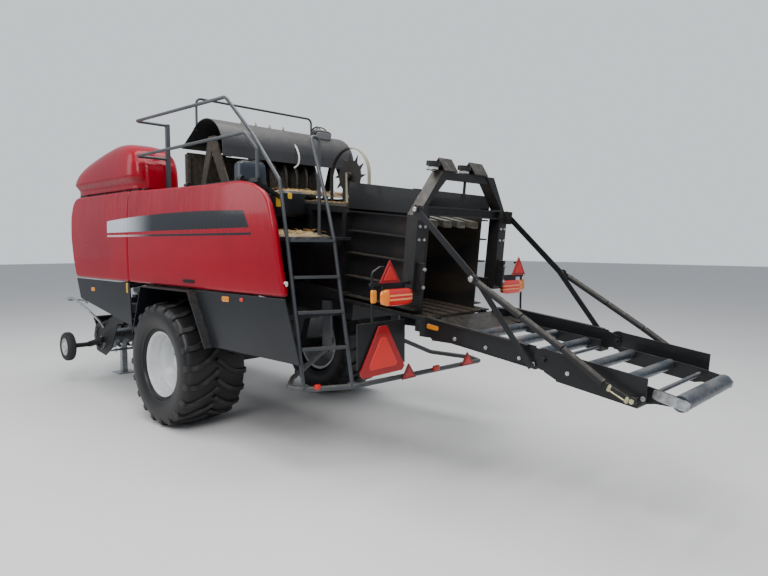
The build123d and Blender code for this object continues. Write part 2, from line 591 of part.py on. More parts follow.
# Pickup: side plates on a pivot, pan, crop guard and a tined reel, with a gauge wheel each side
REEL_Y = -2700
REEL_Z = 640
REEL_R = 245
REEL_CORE = 110
REEL_SHAFT_R = 25
PICKUP_HALF = 960
GAUGE_Y = -3080
GAUGE_Z = 505
GAUGE_R = 205
GAUGE_W = 120
GAUGE_X = 1290
with BuildPart() as pickup_frame:
    for side, name in SIDES:
        plate(((aft(-1930), 1050), (aft(-2080), 1060), (aft(-2500), 900), (aft(-2880), 820), (aft(-2960), 640),
               (aft(-2860), 440), (aft(-2560), 400), (aft(-2340), 520), (aft(-2130), 880), (aft(-1930), 910)),
              side * PICKUP_HALF, side * (PICKUP_HALF + 12))
        cross_bar(aft(PICKUP_PIVOT[0]), PICKUP_PIVOT[1], PIVOT_R, side * (FRAME_OUT + 14), side * (PICKUP_HALF + 30))
        box_tube((side * (PICKUP_HALF + 32), aft(-2600), 620), (side * (PICKUP_HALF + 32), aft(GAUGE_Y), GAUGE_Z), 40, 80)
        cross_bar(aft(GAUGE_Y), GAUGE_Z, 20, side * (PICKUP_HALF + 12), side * (GAUGE_X + 55))
        cross_bar(aft(GAUGE_Y), GAUGE_Z, 34, side * (PICKUP_HALF + 12), side * (GAUGE_X - GAUGE_W / 2 - 6))
        cross_bar(aft(REEL_Y), REEL_Z, REEL_SHAFT_R + PIVOT_GAP, side * PICKUP_HALF, side * (PICKUP_HALF + 12),
                  Mode.SUBTRACT)
    cross_bar(aft(-2960), 900, 30, -PICKUP_HALF, PICKUP_HALF)
    plate(((aft(-2990), 900), (aft(-2900), 790), (aft(-2880), 790), (aft(-2930), 900)), -PICKUP_HALF, PICKUP_HALF)
    plate(((aft(-2420), 480), (aft(-2300), 520), (aft(-2300), 508), (aft(-2420), 468)), -PICKUP_HALF, PICKUP_HALF)
    cross_bar(aft(-2420), 860, 40, -PICKUP_HALF, PICKUP_HALF)
save(pickup_frame.part, "pickup_frame")

TINE_ROWS = 4
TINES = 14
with BuildPart() as pickup_reel:
    cross_bar(aft(REEL_Y), REEL_Z, REEL_CORE, -PICKUP_HALF + RUN_GAP, PICKUP_HALF - RUN_GAP)
    cross_bar(aft(REEL_Y), REEL_Z, REEL_SHAFT_R, -PICKUP_HALF - 12, PICKUP_HALF + 12)
    pitch = 2 * (PICKUP_HALF - 60) / (TINES - 1)
    for row in range(TINE_ROWS):
        turn = 360 / TINE_ROWS * row
        with Locations(Plane(origin=(0, aft(REEL_Y), REEL_Z), x_dir=(1, 0, 0),
                             z_dir=(0, cos(radians(turn)), sin(radians(turn)))).location):
            with Locations(*[((n - (TINES - 1) / 2) * pitch, 0, (REEL_CORE + REEL_R) / 2 - 5) for n in range(TINES)]):
                Box(8, 8, REEL_R - REEL_CORE + 10)
save(pickup_reel.part, "pickup_reel")

for side, name in SIDES:
    with BuildPart() as gauge_wheel:
        with BuildSketch(Plane(origin=(side * GAUGE_X, aft(GAUGE_Y), GAUGE_Z), x_dir=(side, 0, 0), z_dir=(0, -side, 0))):
            with BuildLine():
                half = GAUGE_W / 2
                Polyline((-half, 20.3), (half, 20.3), (half, 60), (18, 70), (18, 120), (half - 6, 128),
                         (half, 160), (half - 12, GAUGE_R - 14), (half - 34, GAUGE_R), (-half + 34, GAUGE_R),
                         (-half + 12, GAUGE_R - 14), (-half, 160), (-half + 6, 128), (-18, 120), (-18, 70),
                         (-half, 60), close=True)
            make_face()
        revolve(axis=Axis((0, aft(GAUGE_Y), GAUGE_Z), (1, 0, 0)))
    save(gauge_wheel.part, f"{name}_gauge_wheel")

# Side shields: pressed pans with a rim all round, hinged along the top
TOP_EDGE = ((-2570, 2605), (-950, 2610), (-240, 2590), (720, 2572), (1370, 2572), (1590, 2530), (1770, 2443),
            (1860, 2326), (1930, 2110), (1990, 1810), (2065, PANEL_BOTTOM))
FRONT_EDGE = ((-2660, PANEL_BOTTOM), (-2740, 1800), (-2790, 2050), (-2790, 2350), (-2740, 2520), (-2660, 2590))
SHIELDS = {
    "rear": [(PANEL_SEAM + SEAM_GAP / 2, PANEL_BOTTOM), (PANEL_SEAM + SEAM_GAP / 2, 2609)] + list(TOP_EDGE[2:]),
    "front": list(FRONT_EDGE) + [TOP_EDGE[0], (PANEL_SEAM - SEAM_GAP / 2, 2610),
                                 (PANEL_SEAM - SEAM_GAP / 2, PANEL_BOTTOM)],
}
HINGES = {"rear": (-700, 300, 1300), "front": (-2400, -1800, -1200)}
EAR = 34


def long_bar(x, z, radius, y0, y1, mode=Mode.ADD):
    """Adds a round bar that lies along the machine, between two distances behind the axle."""
    with BuildSketch(Plane.XZ.offset(-aft(y1))) as section:
        with Locations((x, z)):
            Circle(radius)
    extrude(section.sketch, amount=y1 - y0, mode=mode)


for side, name in SIDES:
    outer_start = min(side * (PANEL_X - PANEL_RIM), side * PANEL_X)
    inner_start = min(side * (PANEL_X - PANEL_RIM), side * (PANEL_X - PANEL_T))
    for section, outline in SHIELDS.items():
        with BuildPart() as shield:
            with BuildSketch(Plane.YZ.offset(outer_start)) as skin:
                with BuildLine():
                    FilletPolyline(*[(aft(y), z) for y, z in outline], radius=PANEL_CORNER, close=True)
                make_face()
            extrude(skin.sketch, amount=PANEL_RIM)
            with BuildSketch(Plane.YZ.offset(inner_start)) as hollow:
                with BuildLine():
                    FilletPolyline(*[(aft(y), z) for y, z in outline], radius=PANEL_CORNER, close=True)
                make_face()
                offset(amount=-PANEL_T, kind=Kind.INTERSECTION)
            extrude(hollow.sketch, amount=PANEL_RIM - PANEL_T, mode=Mode.SUBTRACT)
            for y in HINGES[section]:
                block((side * HINGE_X, side * (PANEL_X - PANEL_RIM + 14)), (aft(y + 31), aft(y + 31 + EAR)),
                      (2556, HINGE_Z))
                long_bar(side * HINGE_X, HINGE_Z, HINGE_PIN_R + 6, y + 31, y + 31 + EAR)
                long_bar(side * HINGE_X, HINGE_Z, HINGE_PIN_R + PIVOT_GAP, y + 31, y + 31 + EAR, Mode.SUBTRACT)
        save(shield.part, f"{name}_{section}_shield")

# Carriers of the side shields: a hinge rail each side on outriggers from the chamber and the portal
HINGE_RAIL_X = (1160, 1205)
HINGE_RAIL_Y = (-2640, 1560)
HINGE_RAIL_Z = (2550, 2590)
OUTRIGGERS = (-930, 344, 1439)
OUTRIGGER_V = 330
with BuildPart() as shield_carriers:
    for side, name in SIDES:
        block((side * HINGE_RAIL_X[0], side * HINGE_RAIL_X[1]), (aft(HINGE_RAIL_Y[0]), aft(HINGE_RAIL_Y[1])),
              HINGE_RAIL_Z)
        for y in OUTRIGGERS:
            strut(side * RIB_OUT, chamber_z(y, OUTRIGGER_V), side * (HINGE_RAIL_X[0] + 5), 2570,
                  (aft(y - 20), aft(y + 20)), 34)
        strut(side * RIB_OUT, 2500, side * (HINGE_RAIL_X[0] + 5), 2570, (aft(-1393), aft(-1353)), 34)
        for places in HINGES.values():
            for y in places:
                block((side * (HINGE_RAIL_X[1] - 5), side * HINGE_X), (aft(y - 30), aft(y + 30)), (2575, HINGE_Z))
                long_bar(side * HINGE_X, HINGE_Z, HINGE_PIN_R + 6, y - 30, y + 30)
                long_bar(side * HINGE_X, HINGE_Z, HINGE_PIN_R, y - 34, y + 31 + EAR + 4)
save(shield_carriers.part, "shield_carriers")

# Lower side panels and the bars that hold them
FRONT_LOWER = ((-2630, 1513), (-2510, 1243), (-930, 1000), (-970, 1513))
FENDER = ((-728, 946), (-500, 1500), (560, 1500), (886, 958))
REAR_LOWER = ((892, 965), (2280, 965), (2075, 1513), (562, 1513))
PANEL_BARS = ((-2130, 1440, 1440), (-1000, 1600, 1470), (700, 1450, 1480), (1940, 1330, 1330))
with BuildPart() as lower_panels:
    for side, name in SIDES:
        for outline in (FRONT_LOWER, REAR_LOWER):
            plate([(aft(y), z) for y, z in outline], side * (LOWER_PANEL_X - 16), side * LOWER_PANEL_X)
save(lower_panels.part, "lower_panels")
with BuildPart() as panel_bars:
    for side, name in SIDES:
        for y, z_in, z_out in PANEL_BARS:
            strut(side * FRAME_OUT, z_in, side * (LOWER_PANEL_X - 16), z_out, (aft(y - 20), aft(y + 20)), 40)
save(panel_bars.part, "panel_bars")

# Fenders: a bent sheet over each tyre, hung under two bars from the frame rails
FENDER_X = (760, 1385)
with BuildPart() as fenders:
    for side, name in SIDES:
        with BuildSketch(Plane.YZ.offset(min(side * FENDER_X[0], side * FENDER_X[1]))) as sheet:
            with BuildLine():
                Polyline(*[(aft(y), z) for y, z in FENDER])
                offset(amount=6, side=Side.BOTH)
            make_face()
        extrude(sheet.sketch, amount=FENDER_X[1] - FENDER_X[0])
        for y in (-300, 300):
            block((side * FRAME_OUT, side * 1236), (aft(y - 20), aft(y + 20)), (1505, 1545))
save(fenders.part, "fenders")

# Twine boxes behind the front shields, with twine balls standing on their shelves
BOX_X = (620, 1150)
BOX_Y = (-2500, -1120)
SHELVES = (1640, 2060, 2458)
SHELF_T = 12
BOX_Z = (SHELVES[0], SHELVES[-1] + SHELF_T)
with BuildPart() as twine_boxes:
    for side, name in SIDES:
        block((side * BOX_X[0], side * (BOX_X[0] + SHELF_T)), (aft(BOX_Y[0]), aft(BOX_Y[1])), BOX_Z)
        for z in SHELVES:
            block((side * BOX_X[0], side * BOX_X[1]), (aft(BOX_Y[0]), aft(BOX_Y[1])), (z, z + SHELF_T))
        for y in (BOX_Y[0], BOX_Y[1] - SHELF_T):
            block((side * BOX_X[0], side * BOX_X[1]), (aft(y), aft(y + SHELF_T)), BOX_Z)
        block((side * FRAME_OUT, side * BOX_X[0]), (aft(-2150), aft(-2060)), (1600, 1780))
        block((side * RIB_OUT, side * BOX_X[0]), (aft(-1400), aft(-1330)), (2200, 2260))
save(twine_boxes.part, "twine_boxes")
with BuildPart() as twine_balls:
    for side, name in SIDES:
        for z in SHELVES[:2]:
            with BuildSketch(Plane.XY.offset(z + SHELF_T)) as balls:
                with Locations(*[(side * 1005, aft(-2350 + 270 * n)) for n in range(5)]):
                    Circle(120)
            extrude(balls.sketch, amount=300)
save(twine_balls.part, "twine_balls")

# Bulging front covers beside the gearbox, hollow, tipping forward on a pin at their front edge
COVER_IN = 640
COVER_OUT = 1215
COVER_BOTTOM = 2632
COVER_T = 14
COVER_BROW = 44
CREASE_DEPTH = 10
COVER_PIVOT = (-2735, 2640)
LUG_R = 17
COVER_PIN_R = 9


def cover_section(x, inset):
    """Draws the front cover's side outline on a side plane, set in by a wall."""
    base = COVER_BOTTOM - (50 if inset else 0)
    front = aft(-2775) + inset
    back = aft(-832) - inset
    with BuildSketch(Plane.YZ.offset(x)) as section:
        with BuildLine():
            Line((front, base), (front, 2700))
            ThreePointArc((front, 2700), (aft(-2570) + inset, 2985 - inset), (aft(-1950), 3170 - inset))
            ThreePointArc((aft(-1950), 3170 - inset), (aft(-1480), 3225 - inset), (aft(-1060), 3185 - inset))
            ThreePointArc((aft(-1060), 3185 - inset), (aft(-890) - inset, 3090 - inset), (back, 2900))
            Line((back, 2900), (back, base))
            Line((back, base), (front, base))
        make_face()
    return section.sketch


CREASE = ((-2150, COVER_BOTTOM), (-2010, 2800), (-1985, 3000), (-2010, 3300), (-1935, 3300), (-1905, 3000),
          (-1925, 2800), (-2060, COVER_BOTTOM))
for side, name in SIDES:
    with BuildPart() as front_cover:
        extrude(cover_section(min(side * COVER_IN, side * COVER_OUT), 0), amount=COVER_OUT - COVER_IN)
        brow = front_cover.faces().sort_by(Axis.X)[-1 if side > 0 else 0].edges().filter_by(GeomType.CIRCLE)
        fillet(brow, COVER_BROW)
        plate([(aft(y), z) for y, z in CREASE], side * (COVER_OUT - CREASE_DEPTH), side * (COVER_OUT + 5), cut=True)
        extrude(cover_section(min(side * (COVER_IN + COVER_T), side * (COVER_OUT - COVER_T - CREASE_DEPTH)), COVER_BROW / 2),
                amount=COVER_OUT - COVER_IN - 2 * COVER_T - CREASE_DEPTH, mode=Mode.SUBTRACT)
        for x in (760, 1080):
            block((side * x, side * (x + 14)), (aft(-2770), aft(COVER_PIVOT[0] + 20)),
                  (COVER_BOTTOM, COVER_PIVOT[1] + 20))
            cross_bar(aft(COVER_PIVOT[0]), COVER_PIVOT[1], COVER_PIN_R + PIVOT_GAP, side * x, side * (x + 14),
                      Mode.SUBTRACT)
    save(front_cover.part, f"{name}_front_cover")

# Front deck over the gearbox, with the lugs and pins that carry the front covers
DECK_Z = 2600
with BuildPart() as front_deck:
    block((-620, 620), (aft(-2760), aft(-1500)), (DECK_Z, DECK_Z + 20))
    for side, name in SIDES:
        block((side * 610, side * 1200), (aft(-2715), aft(-2665)), (HINGE_RAIL_Z[1] + SEAT, DECK_Z + 20))
        for x in (800, 1040):
            block((side * x, side * (x + 14)), (aft(COVER_PIVOT[0] + 2), aft(-2680)), (DECK_Z + 10, COVER_PIVOT[1]))
            cross_bar(aft(COVER_PIVOT[0]), COVER_PIVOT[1], LUG_R, side * x, side * (x + 14))
        cross_bar(aft(COVER_PIVOT[0]), COVER_PIVOT[1], COVER_PIN_R, side * 756, side * 1098)
        block((side * 1165, side * 1195), (aft(-2700), aft(-900)), (HINGE_RAIL_Z[1] + SEAT, COVER_BOTTOM - SEAT))
save(front_deck.part, "front_deck")

# Knotter table on the chamber's roof, with end brackets, front wall and hoops
TABLE_V = HALF_HEIGHT + ROOF_T
TABLE_T = 30
KNOTTER_Y = 270
KNOTTER_Z = 3060
COVER_HALF = 940
COVER_HINGE = (-316, 3050)
COVER_HINGE_R = 8
with BuildPart() as knotter_frame:
    chamber_block((-COVER_HALF, COVER_HALF), (from_axle(-344), from_axle(770)), (TABLE_V, TABLE_V + TABLE_T))
    for side, name in SIDES:
        foot = TABLE_V + TABLE_T - 5
        plate([(aft(10), chamber_z(10, foot)), (aft(200), 3150), (aft(330), 3150), (aft(640), chamber_z(640, foot))],
              side * 880, side * 900)
        plate([(aft(110), chamber_z(110, foot + 5)), (aft(262), 2990), (aft(500), chamber_z(500, foot + 5))],
              side * 870, side * 910, cut=True)
        box_tube((side * 890, aft(-270), chamber_z(-270, foot)), (side * 890, aft(-270), 3010), 40, 60)
    block((-890, 890), (aft(-290), aft(-278)), (chamber_z(-290, TABLE_V + TABLE_T - 5), 3030))
    for x in (-420, 380):
        cross_bar(aft(COVER_HINGE[0]), COVER_HINGE[1], COVER_HINGE_R, x - 90, x + 130)
        block((x, x + 40), (aft(-324), aft(-284)), (3000, COVER_HINGE[1] + 6))
save(knotter_frame.part, "knotter_frame")

# Knotters in a row on their shaft: each a cam disc with gear teeth on part of its rim, a curved frame that
# stands on the table, a billhook that faces down, a notched twine disc and the arm that strips the knot
KNOTTERS = 6
KNOTTER_FOOT = TABLE_V + TABLE_T + SEAT
KNOTTER_PITCH = 150
CAM_R = 128
CAM_T = 22
CAM_TEETH = 7
TWINE_DISC_R = 56
FOOT_Y = KNOTTER_Y + 195
with BuildPart() as knotter:
    with BuildSketch(Plane(origin=(-CAM_T / 2, aft(KNOTTER_Y), KNOTTER_Z), x_dir=(0, 1, 0), z_dir=(1, 0, 0))) as cam:
        Circle(CAM_R)
        with PolarLocations(CAM_R, CAM_TEETH, start_angle=250, angular_range=70):
            Rectangle(16, 9)
        with PolarLocations(CAM_R, 1, start_angle=20):
            Rectangle(44, 46, mode=Mode.SUBTRACT)
        with PolarLocations(76, 3, start_angle=70):
            Circle(22, mode=Mode.SUBTRACT)
    extrude(cam.sketch, amount=CAM_T)
    heel, toe = [(aft(y), chamber_z(y, KNOTTER_FOOT)) for y in (FOOT_Y + 40, FOOT_Y - 35)]
    with BuildSketch(Plane.YZ.offset(CAM_T / 2)) as frame:
        with BuildLine():
            Line((aft(KNOTTER_Y - 42), KNOTTER_Z + 10), (aft(KNOTTER_Y + 38), KNOTTER_Z + 22))
            ThreePointArc((aft(KNOTTER_Y + 38), KNOTTER_Z + 22), (aft(FOOT_Y + 10), KNOTTER_Z - 120), heel)
            Line(heel, toe)
            ThreePointArc(toe, (aft(FOOT_Y - 70), KNOTTER_Z - 170), (aft(KNOTTER_Y - 42), KNOTTER_Z + 10))
        make_face()
    extrude(frame.sketch, amount=30)
    with BuildSketch(Plane(origin=(0, aft(KNOTTER_Y + 62), KNOTTER_Z - 150), x_dir=(0, 1, 0), z_dir=(1, 0, 0))) as disc:
        Circle(TWINE_DISC_R)
        with PolarLocations(TWINE_DISC_R, 5):
            Rectangle(30, 12, mode=Mode.SUBTRACT)
    extrude(disc.sketch, amount=KNOTTER_PITCH / 2 - 18)
    beak = (aft(KNOTTER_Y + 5), KNOTTER_Z - 172)
    cross_bar(beak[0] + 20, beak[1] + 30, 20, 8, 44)
    plate([(beak[0] + 34, beak[1] + 44), (beak[0] + 6, beak[1] + 34), (beak[0] - 34, beak[1] - 38),
           (beak[0] - 20, beak[1] - 46), (beak[0] + 2, beak[1] - 12), (beak[0] + 36, beak[1] + 16)], 14, 30)
    box_tube((46, aft(KNOTTER_Y + 30), KNOTTER_Z - 20), (46, aft(KNOTTER_Y - 30), KNOTTER_Z - 215), 12, 26)
with BuildPart() as knotter_stack:
    cross_bar(aft(KNOTTER_Y), KNOTTER_Z, 24, -880 + SEAT, 880 - SEAT)
    with Locations(*[((number - (KNOTTERS - 1) / 2) * KNOTTER_PITCH, 0, 0) for number in range(KNOTTERS)]):
        add(knotter.part)
save(knotter_stack.part, "knotter_stack")

# Hinged half-barrel cover over the knotters, with its lamp bar
KNOT_COVER_T = 8


def barrel(shrink):
    """Draws the knotter cover's arch, from its front lip over the crown to its rear lip."""
    ThreePointArc((aft(-60), 3238 - shrink), (aft(235), 3340 - shrink), (aft(556) - shrink, 3030))


with BuildPart() as knotter_cover:
    with BuildSketch(Plane.YZ.offset(-COVER_HALF)):
        with BuildLine():
            Line((aft(-316), 3078), (aft(-60), 3238))
            barrel(0)
            Line((aft(556), 3030), (aft(560), 2911))
            Line((aft(560), 2911), (aft(560 - KNOT_COVER_T), 2911))
            Line((aft(560 - KNOT_COVER_T), 2911), (aft(556 - KNOT_COVER_T), 3030))
            barrel(KNOT_COVER_T)
            Line((aft(-60), 3238 - KNOT_COVER_T), (aft(-316), 3078 - KNOT_COVER_T))
            Line((aft(-316), 3078 - KNOT_COVER_T), (aft(-316), 3078))
        make_face()
    extrude(amount=2 * COVER_HALF)
    for x in (-500, 460):
        block((x, x + 40), (aft(-330), aft(-300)), (COVER_HINGE[1] - 12, 3078))
        cross_bar(aft(COVER_HINGE[0]), COVER_HINGE[1], COVER_HINGE_R + PIVOT_GAP, x, x + 40, Mode.SUBTRACT)
    tube(((900, aft(-40), 3240), (900, aft(-40), 3600), (-740, aft(-40), 3600), (-740, aft(-40), 3240)), 13, 60)
save(knotter_cover.part, "knotter_cover")

# Bale-length star wheel on its arms, under a hoop guard
STAR_Y = 1500
STAR_Z = 2700
STAR_R = 240
STAR_TEETH = 12
HOOP_R = 295
with BuildPart() as star_wheel:
    with BuildSketch(Plane.YZ.offset(-6)) as star:
        with BuildLine():
            Polyline(*[(aft(STAR_Y) + r * cos(a), STAR_Z + r * sin(a)) for n in range(STAR_TEETH)
                       for r, a in ((STAR_R - 70, 2 * pi * (n - 0.35) / STAR_TEETH),
                                    (STAR_R, 2 * pi * n / STAR_TEETH),
                                    (STAR_R - 70, 2 * pi * (n + 0.1) / STAR_TEETH))], close=True)
        make_face()
    extrude(star.sketch, amount=12)
    cross_bar(aft(STAR_Y), STAR_Z, 40, -40, 40)
    cross_bar(aft(STAR_Y), STAR_Z, 15 + PIVOT_GAP, -40, 40, Mode.SUBTRACT)
save(star_wheel.part, "star_wheel")
with BuildPart() as star_guard:
    cross_bar(aft(STAR_Y), STAR_Z, 15, -75, 75)
    for side in (-1, 1):
        plate([(aft(STAR_Y - 40), chamber_z(STAR_Y - 40, TABLE_V)), (aft(STAR_Y - 25), STAR_Z + 30),
               (aft(STAR_Y + 25), STAR_Z + 30), (aft(STAR_Y + 40), chamber_z(STAR_Y + 40, TABLE_V))],
              side * 62, side * 74)
    with BuildSketch(Plane.YZ.offset(-20)) as hoop:
        with Locations((aft(STAR_Y), STAR_Z)):
            Circle(HOOP_R)
            Circle(HOOP_R - 12, mode=Mode.SUBTRACT)
        with Locations((aft(STAR_Y), STAR_Z - 400)):
            Rectangle(1000, 800, mode=Mode.SUBTRACT)
    extrude(hoop.sketch, amount=40)
    for y in (STAR_Y - HOOP_R, STAR_Y + HOOP_R - 12):
        block((-20, 20), (aft(y), aft(y + 12)), (chamber_z(y, TABLE_V) + SEAT, STAR_Z + 5))
save(star_guard.part, "star_guard")

# Grease tank and switch box beside the knotters
with BuildPart() as grease_tank:
    chamber_block((560, 860), (from_axle(670), from_axle(760)), (TABLE_V + TABLE_T, TABLE_V + TABLE_T + 230))
save(grease_tank.part, "grease_tank")
with BuildPart() as switch_box:
    block((RIB_OUT, 860), (aft(1040), aft(1290)), (2290, 2480))
save(switch_box.part, "switch_box")

# Service platform beside the chamber, at the top of the ladder
PLATFORM_Z = 2050
LEFT_FOOT = (1150, 2140)
LEFT_TOP = (1150, 1926)
RIGHT_FOOT = (750, 2330)
RIGHT_TOP = (750, 2095)
STEP_HEIGHTS = (1060, 1380, 1690)
FOOT_Z = BUMPER_Z + BUMPER_R + 8
with BuildPart() as platform:
    with BuildSketch(Plane.XY.offset(PLATFORM_Z - 30)):
        with BuildLine():
            Polyline((RIB_OUT, aft(850)), (LEFT_TOP[0] - 30, aft(850)), (LEFT_TOP[0] - 30, aft(LEFT_TOP[1] - 40)),
                     (RIGHT_TOP[0], aft(RIGHT_TOP[1] - 40)), (RIB_OUT, aft(RIGHT_TOP[1] - 40)), close=True)
        make_face()
    extrude(amount=30)
save(platform.part, "platform")

# Guard rails: bent tube that runs down into the ladder's left stile
POST_PLACE = (860, -800)
with BuildPart() as guard_rails:
    tube(((POST_PLACE[0], aft(POST_PLACE[1]), 3400), (1250, aft(POST_PLACE[1]), 3400), (1250, aft(1120), 3372),
          (LEFT_TOP[0], aft(1400), 3020), (LEFT_TOP[0], aft(1821), 2555), (LEFT_TOP[0], aft(LEFT_TOP[1]), 2014),
          (LEFT_FOOT[0], aft(LEFT_FOOT[1]), FOOT_Z - 10)), RAIL_R, 60)
    block((LEFT_FOOT[0] - 60, LEFT_FOOT[0] + 60), (aft(LEFT_FOOT[1] - 60), aft(LEFT_FOOT[1] + 60)), (FOOT_Z - 60, FOOT_Z),
          Mode.SUBTRACT)
    tube(((POST_PLACE[0], aft(POST_PLACE[1]), 3000), (1250, aft(POST_PLACE[1]), 3000), (1250, aft(1430), 3005),
          (1182, aft(1530), 2850), (1182, aft(1530), 2590 + SEAT)), RAIL_R, 50)
    block((POST_PLACE[0] - 22, POST_PLACE[0] + 22), (aft(POST_PLACE[1] - 22), aft(POST_PLACE[1] + 22)), (2600, 3415))
    block((RIB_OUT, POST_PLACE[0]), (aft(POST_PLACE[1] - 20), aft(POST_PLACE[1] + 20)), (2600, 2632))
save(guard_rails.part, "guard_rails")

with BuildPart() as ladder:
    tube(((RIGHT_FOOT[0], aft(RIGHT_FOOT[1]), FOOT_Z - 10), (RIGHT_TOP[0], aft(RIGHT_TOP[1]), 2020),
          (RIGHT_TOP[0], aft(1995), 2370), (RIGHT_TOP[0], aft(1770), 2990), (650, aft(1770), 2990),
          (650, aft(1770), PLATFORM_Z + SEAT)), RAIL_R, 40)
    block((RIGHT_FOOT[0] - 60, RIGHT_FOOT[0] + 60), (aft(RIGHT_FOOT[1] - 60), aft(RIGHT_FOOT[1] + 60)),
          (FOOT_Z - 60, FOOT_Z), Mode.SUBTRACT)
    for z in STEP_HEIGHTS + (PLATFORM_Z - 35,):
        along = (z - BUMPER_Z) / (2020 - BUMPER_Z)
        left_y = LEFT_FOOT[1] + (LEFT_TOP[1] - LEFT_FOOT[1]) * along
        right_y = RIGHT_FOOT[1] + (RIGHT_TOP[1] - RIGHT_FOOT[1]) * along
        box_tube((LEFT_TOP[0] - RAIL_R - SEAT, aft(left_y + 8), z), (RIGHT_TOP[0], aft(right_y), z), 60, 24)
save(ladder.part, "ladder")

# Tubular bumper low across the rear, with hangers from the frame rails
BUMPER_LEFT_Y = 2350
with BuildPart() as bumper:
    tube(((495, aft(1700), 960), (1000, aft(1790), 740), (1172, aft(1960), BUMPER_Z), (LEFT_FOOT[0], aft(LEFT_FOOT[1]), BUMPER_Z),
          (740, aft(BUMPER_LEFT_Y), BUMPER_Z), (-1060, aft(2430), BUMPER_Z), (-1160, aft(2250), BUMPER_Z),
          (-1000, aft(1790), 740), (-495, aft(1700), 960)), BUMPER_R, 40)
    for side, name in SIDES:
        block((side * FRAME_OUT, side * (FRAME_OUT + 30)), (aft(1640), aft(1760)), (920, chamber_z(1760, RAIL_TOP_V - 20)))
    for x, y in (LEFT_FOOT, RIGHT_FOOT):
        block((x - 30, x + 30), (aft(y - 26), aft(y + 26)), (BUMPER_Z + 6, FOOT_Z))
save(bumper.part, "bumper")

# Rear lamps and reflector plates on their carriers, just ahead of the chamber's mouth
LAMP_Y = CHAMBER_MOUTH - 50
with BuildPart() as lamp_carriers:
    for side, name in SIDES:
        block((side * POST_OUT, side * 1110), (aft(LAMP_Y - 40), aft(LAMP_Y - 15)), (MOUTH_Z - 145, MOUTH_Z - 120))
        tube(((side * 1085, aft(LAMP_Y - 28), MOUTH_Z - 550), (side * 1085, aft(LAMP_Y - 28), MOUTH_Z - 40),
              (side * 1000, aft(LAMP_Y - 28), MOUTH_Z), (side * 960, aft(LAMP_Y - 28), MOUTH_Z)), 11, 30)
    block((720, 1260), (aft(LAMP_Y - 24), aft(LAMP_Y - 9)), (MOUTH_Z - 790, MOUTH_Z - 430))
save(lamp_carriers.part, "lamp_carriers")
with BuildPart() as rear_lamps:
    for side, name in SIDES:
        block((side * 670, side * 1010), (aft(LAMP_Y - 15), aft(LAMP_Y + 35)), (MOUTH_Z - 330, MOUTH_Z - 160))
        block((side * 700, side * 980), (aft(LAMP_Y - 40), aft(LAMP_Y - 15)), (MOUTH_Z - 200, MOUTH_Z - 145))
save(rear_lamps.part, "rear_lamps")
with BuildPart() as warning_plates:
    with BuildSketch(Plane.XZ.offset(-aft(LAMP_Y - 9))) as emblem:
        with BuildLine():
            Polyline(*[(x, MOUTH_Z + up) for x, up in ((1257, -740), (1240, -770), (760, -790), (740, -760), (955, -455),
                                                       (1045, -455))], close=True)
        make_face()
    extrude(emblem.sketch, amount=-4)
    for side, name in SIDES:
        with BuildSketch(Plane.XZ.offset(-aft(LAMP_Y - 17))) as reflector:
            with BuildLine():
                Polyline(*[(side * x, MOUTH_Z + up) for x, up in ((1070, -118), (820, -118), (945, 70))], close=True)
            make_face()
        extrude(reflector.sketch, amount=-8)
save(warning_plates.part, "warning_plates")

# Roller chute: a fixed front section and a rear section that folds up. Its places are given as the
# distance behind the mouth and the height over the mouth's middle.
CHUTE_FRONT = ((60, -405), (290, -438), (800, -500), (1090, -538), (1090, -695), (800, -650), (330, -593), (120, -591))
CHUTE_FOOT = ((130, -592), (330, -594), (1090, -696), (1090, -708), (330, -606), (130, -604))
CHUTE_FLANGE = ((85, -409), (290, -438), (800, -500), (1040, -531), (1040, -543), (800, -512), (290, -450), (85, -421))
FOLD_CHEEK = ((1060, -538), (1190, -585), (1200, -640), (1150, -680), (1060, -691))
FRONT_BEARER = ((130, -510), (1090, -610), (1090, -708), (330, -606), (130, -604))
RAMP = ((-45, -458), (325, -548), (322, -556), (-45, -466))
CHUTE_REAR = ((1168, -546), (1890, -650), (1880, -795), (1830, -840), (1250, -750), (1168, -710))
REAR_FOOT = ((1260, -752), (1830, -838), (1830, -850), (1260, -764))
REAR_BEARER = ((1260, -650), (1830, -730), (1880, -740), (2060, -780), (2060, -840), (1880, -840), (1830, -850), (1260, -764))
# Rollers and plain bars: distance, height, radius and the section that carries them
ROLLERS = ((370, -565, ROLLER_R, "front"), (665, -600, ROLLER_R, "front"), (960, -640, ROLLER_R, "front"),
           (1350, -695, ROLLER_R, "rear"), (1650, -735, ROLLER_R, "rear"), (CHUTE_REACH, -815, LAST_ROLLER_R, "rear"))
BARS = ((1075, -670, 14, "front"), (1275, -700, 14, "rear"), (1865, -780, 16, "rear"))
STRAP_FOOT = (1073, -672)
CHAIN_PIN = (1830, -788)
FRONT_WEB = (CHUTE_X - 12, CHUTE_X)
REAR_WEB = (CHUTE_X + RUN_GAP, CHUTE_X + RUN_GAP + CHUTE_PLATE_T)
BEARER = (ROLLER_HALF + 2, ROLLER_HALF + 14)


def chute_plate(outline, x0, x1):
    """Adds an upright plate or a bent sheet of the chute between two distances from the middle plane."""
    plate([past_mouth(back, up) for back, up in outline], x0, x1)


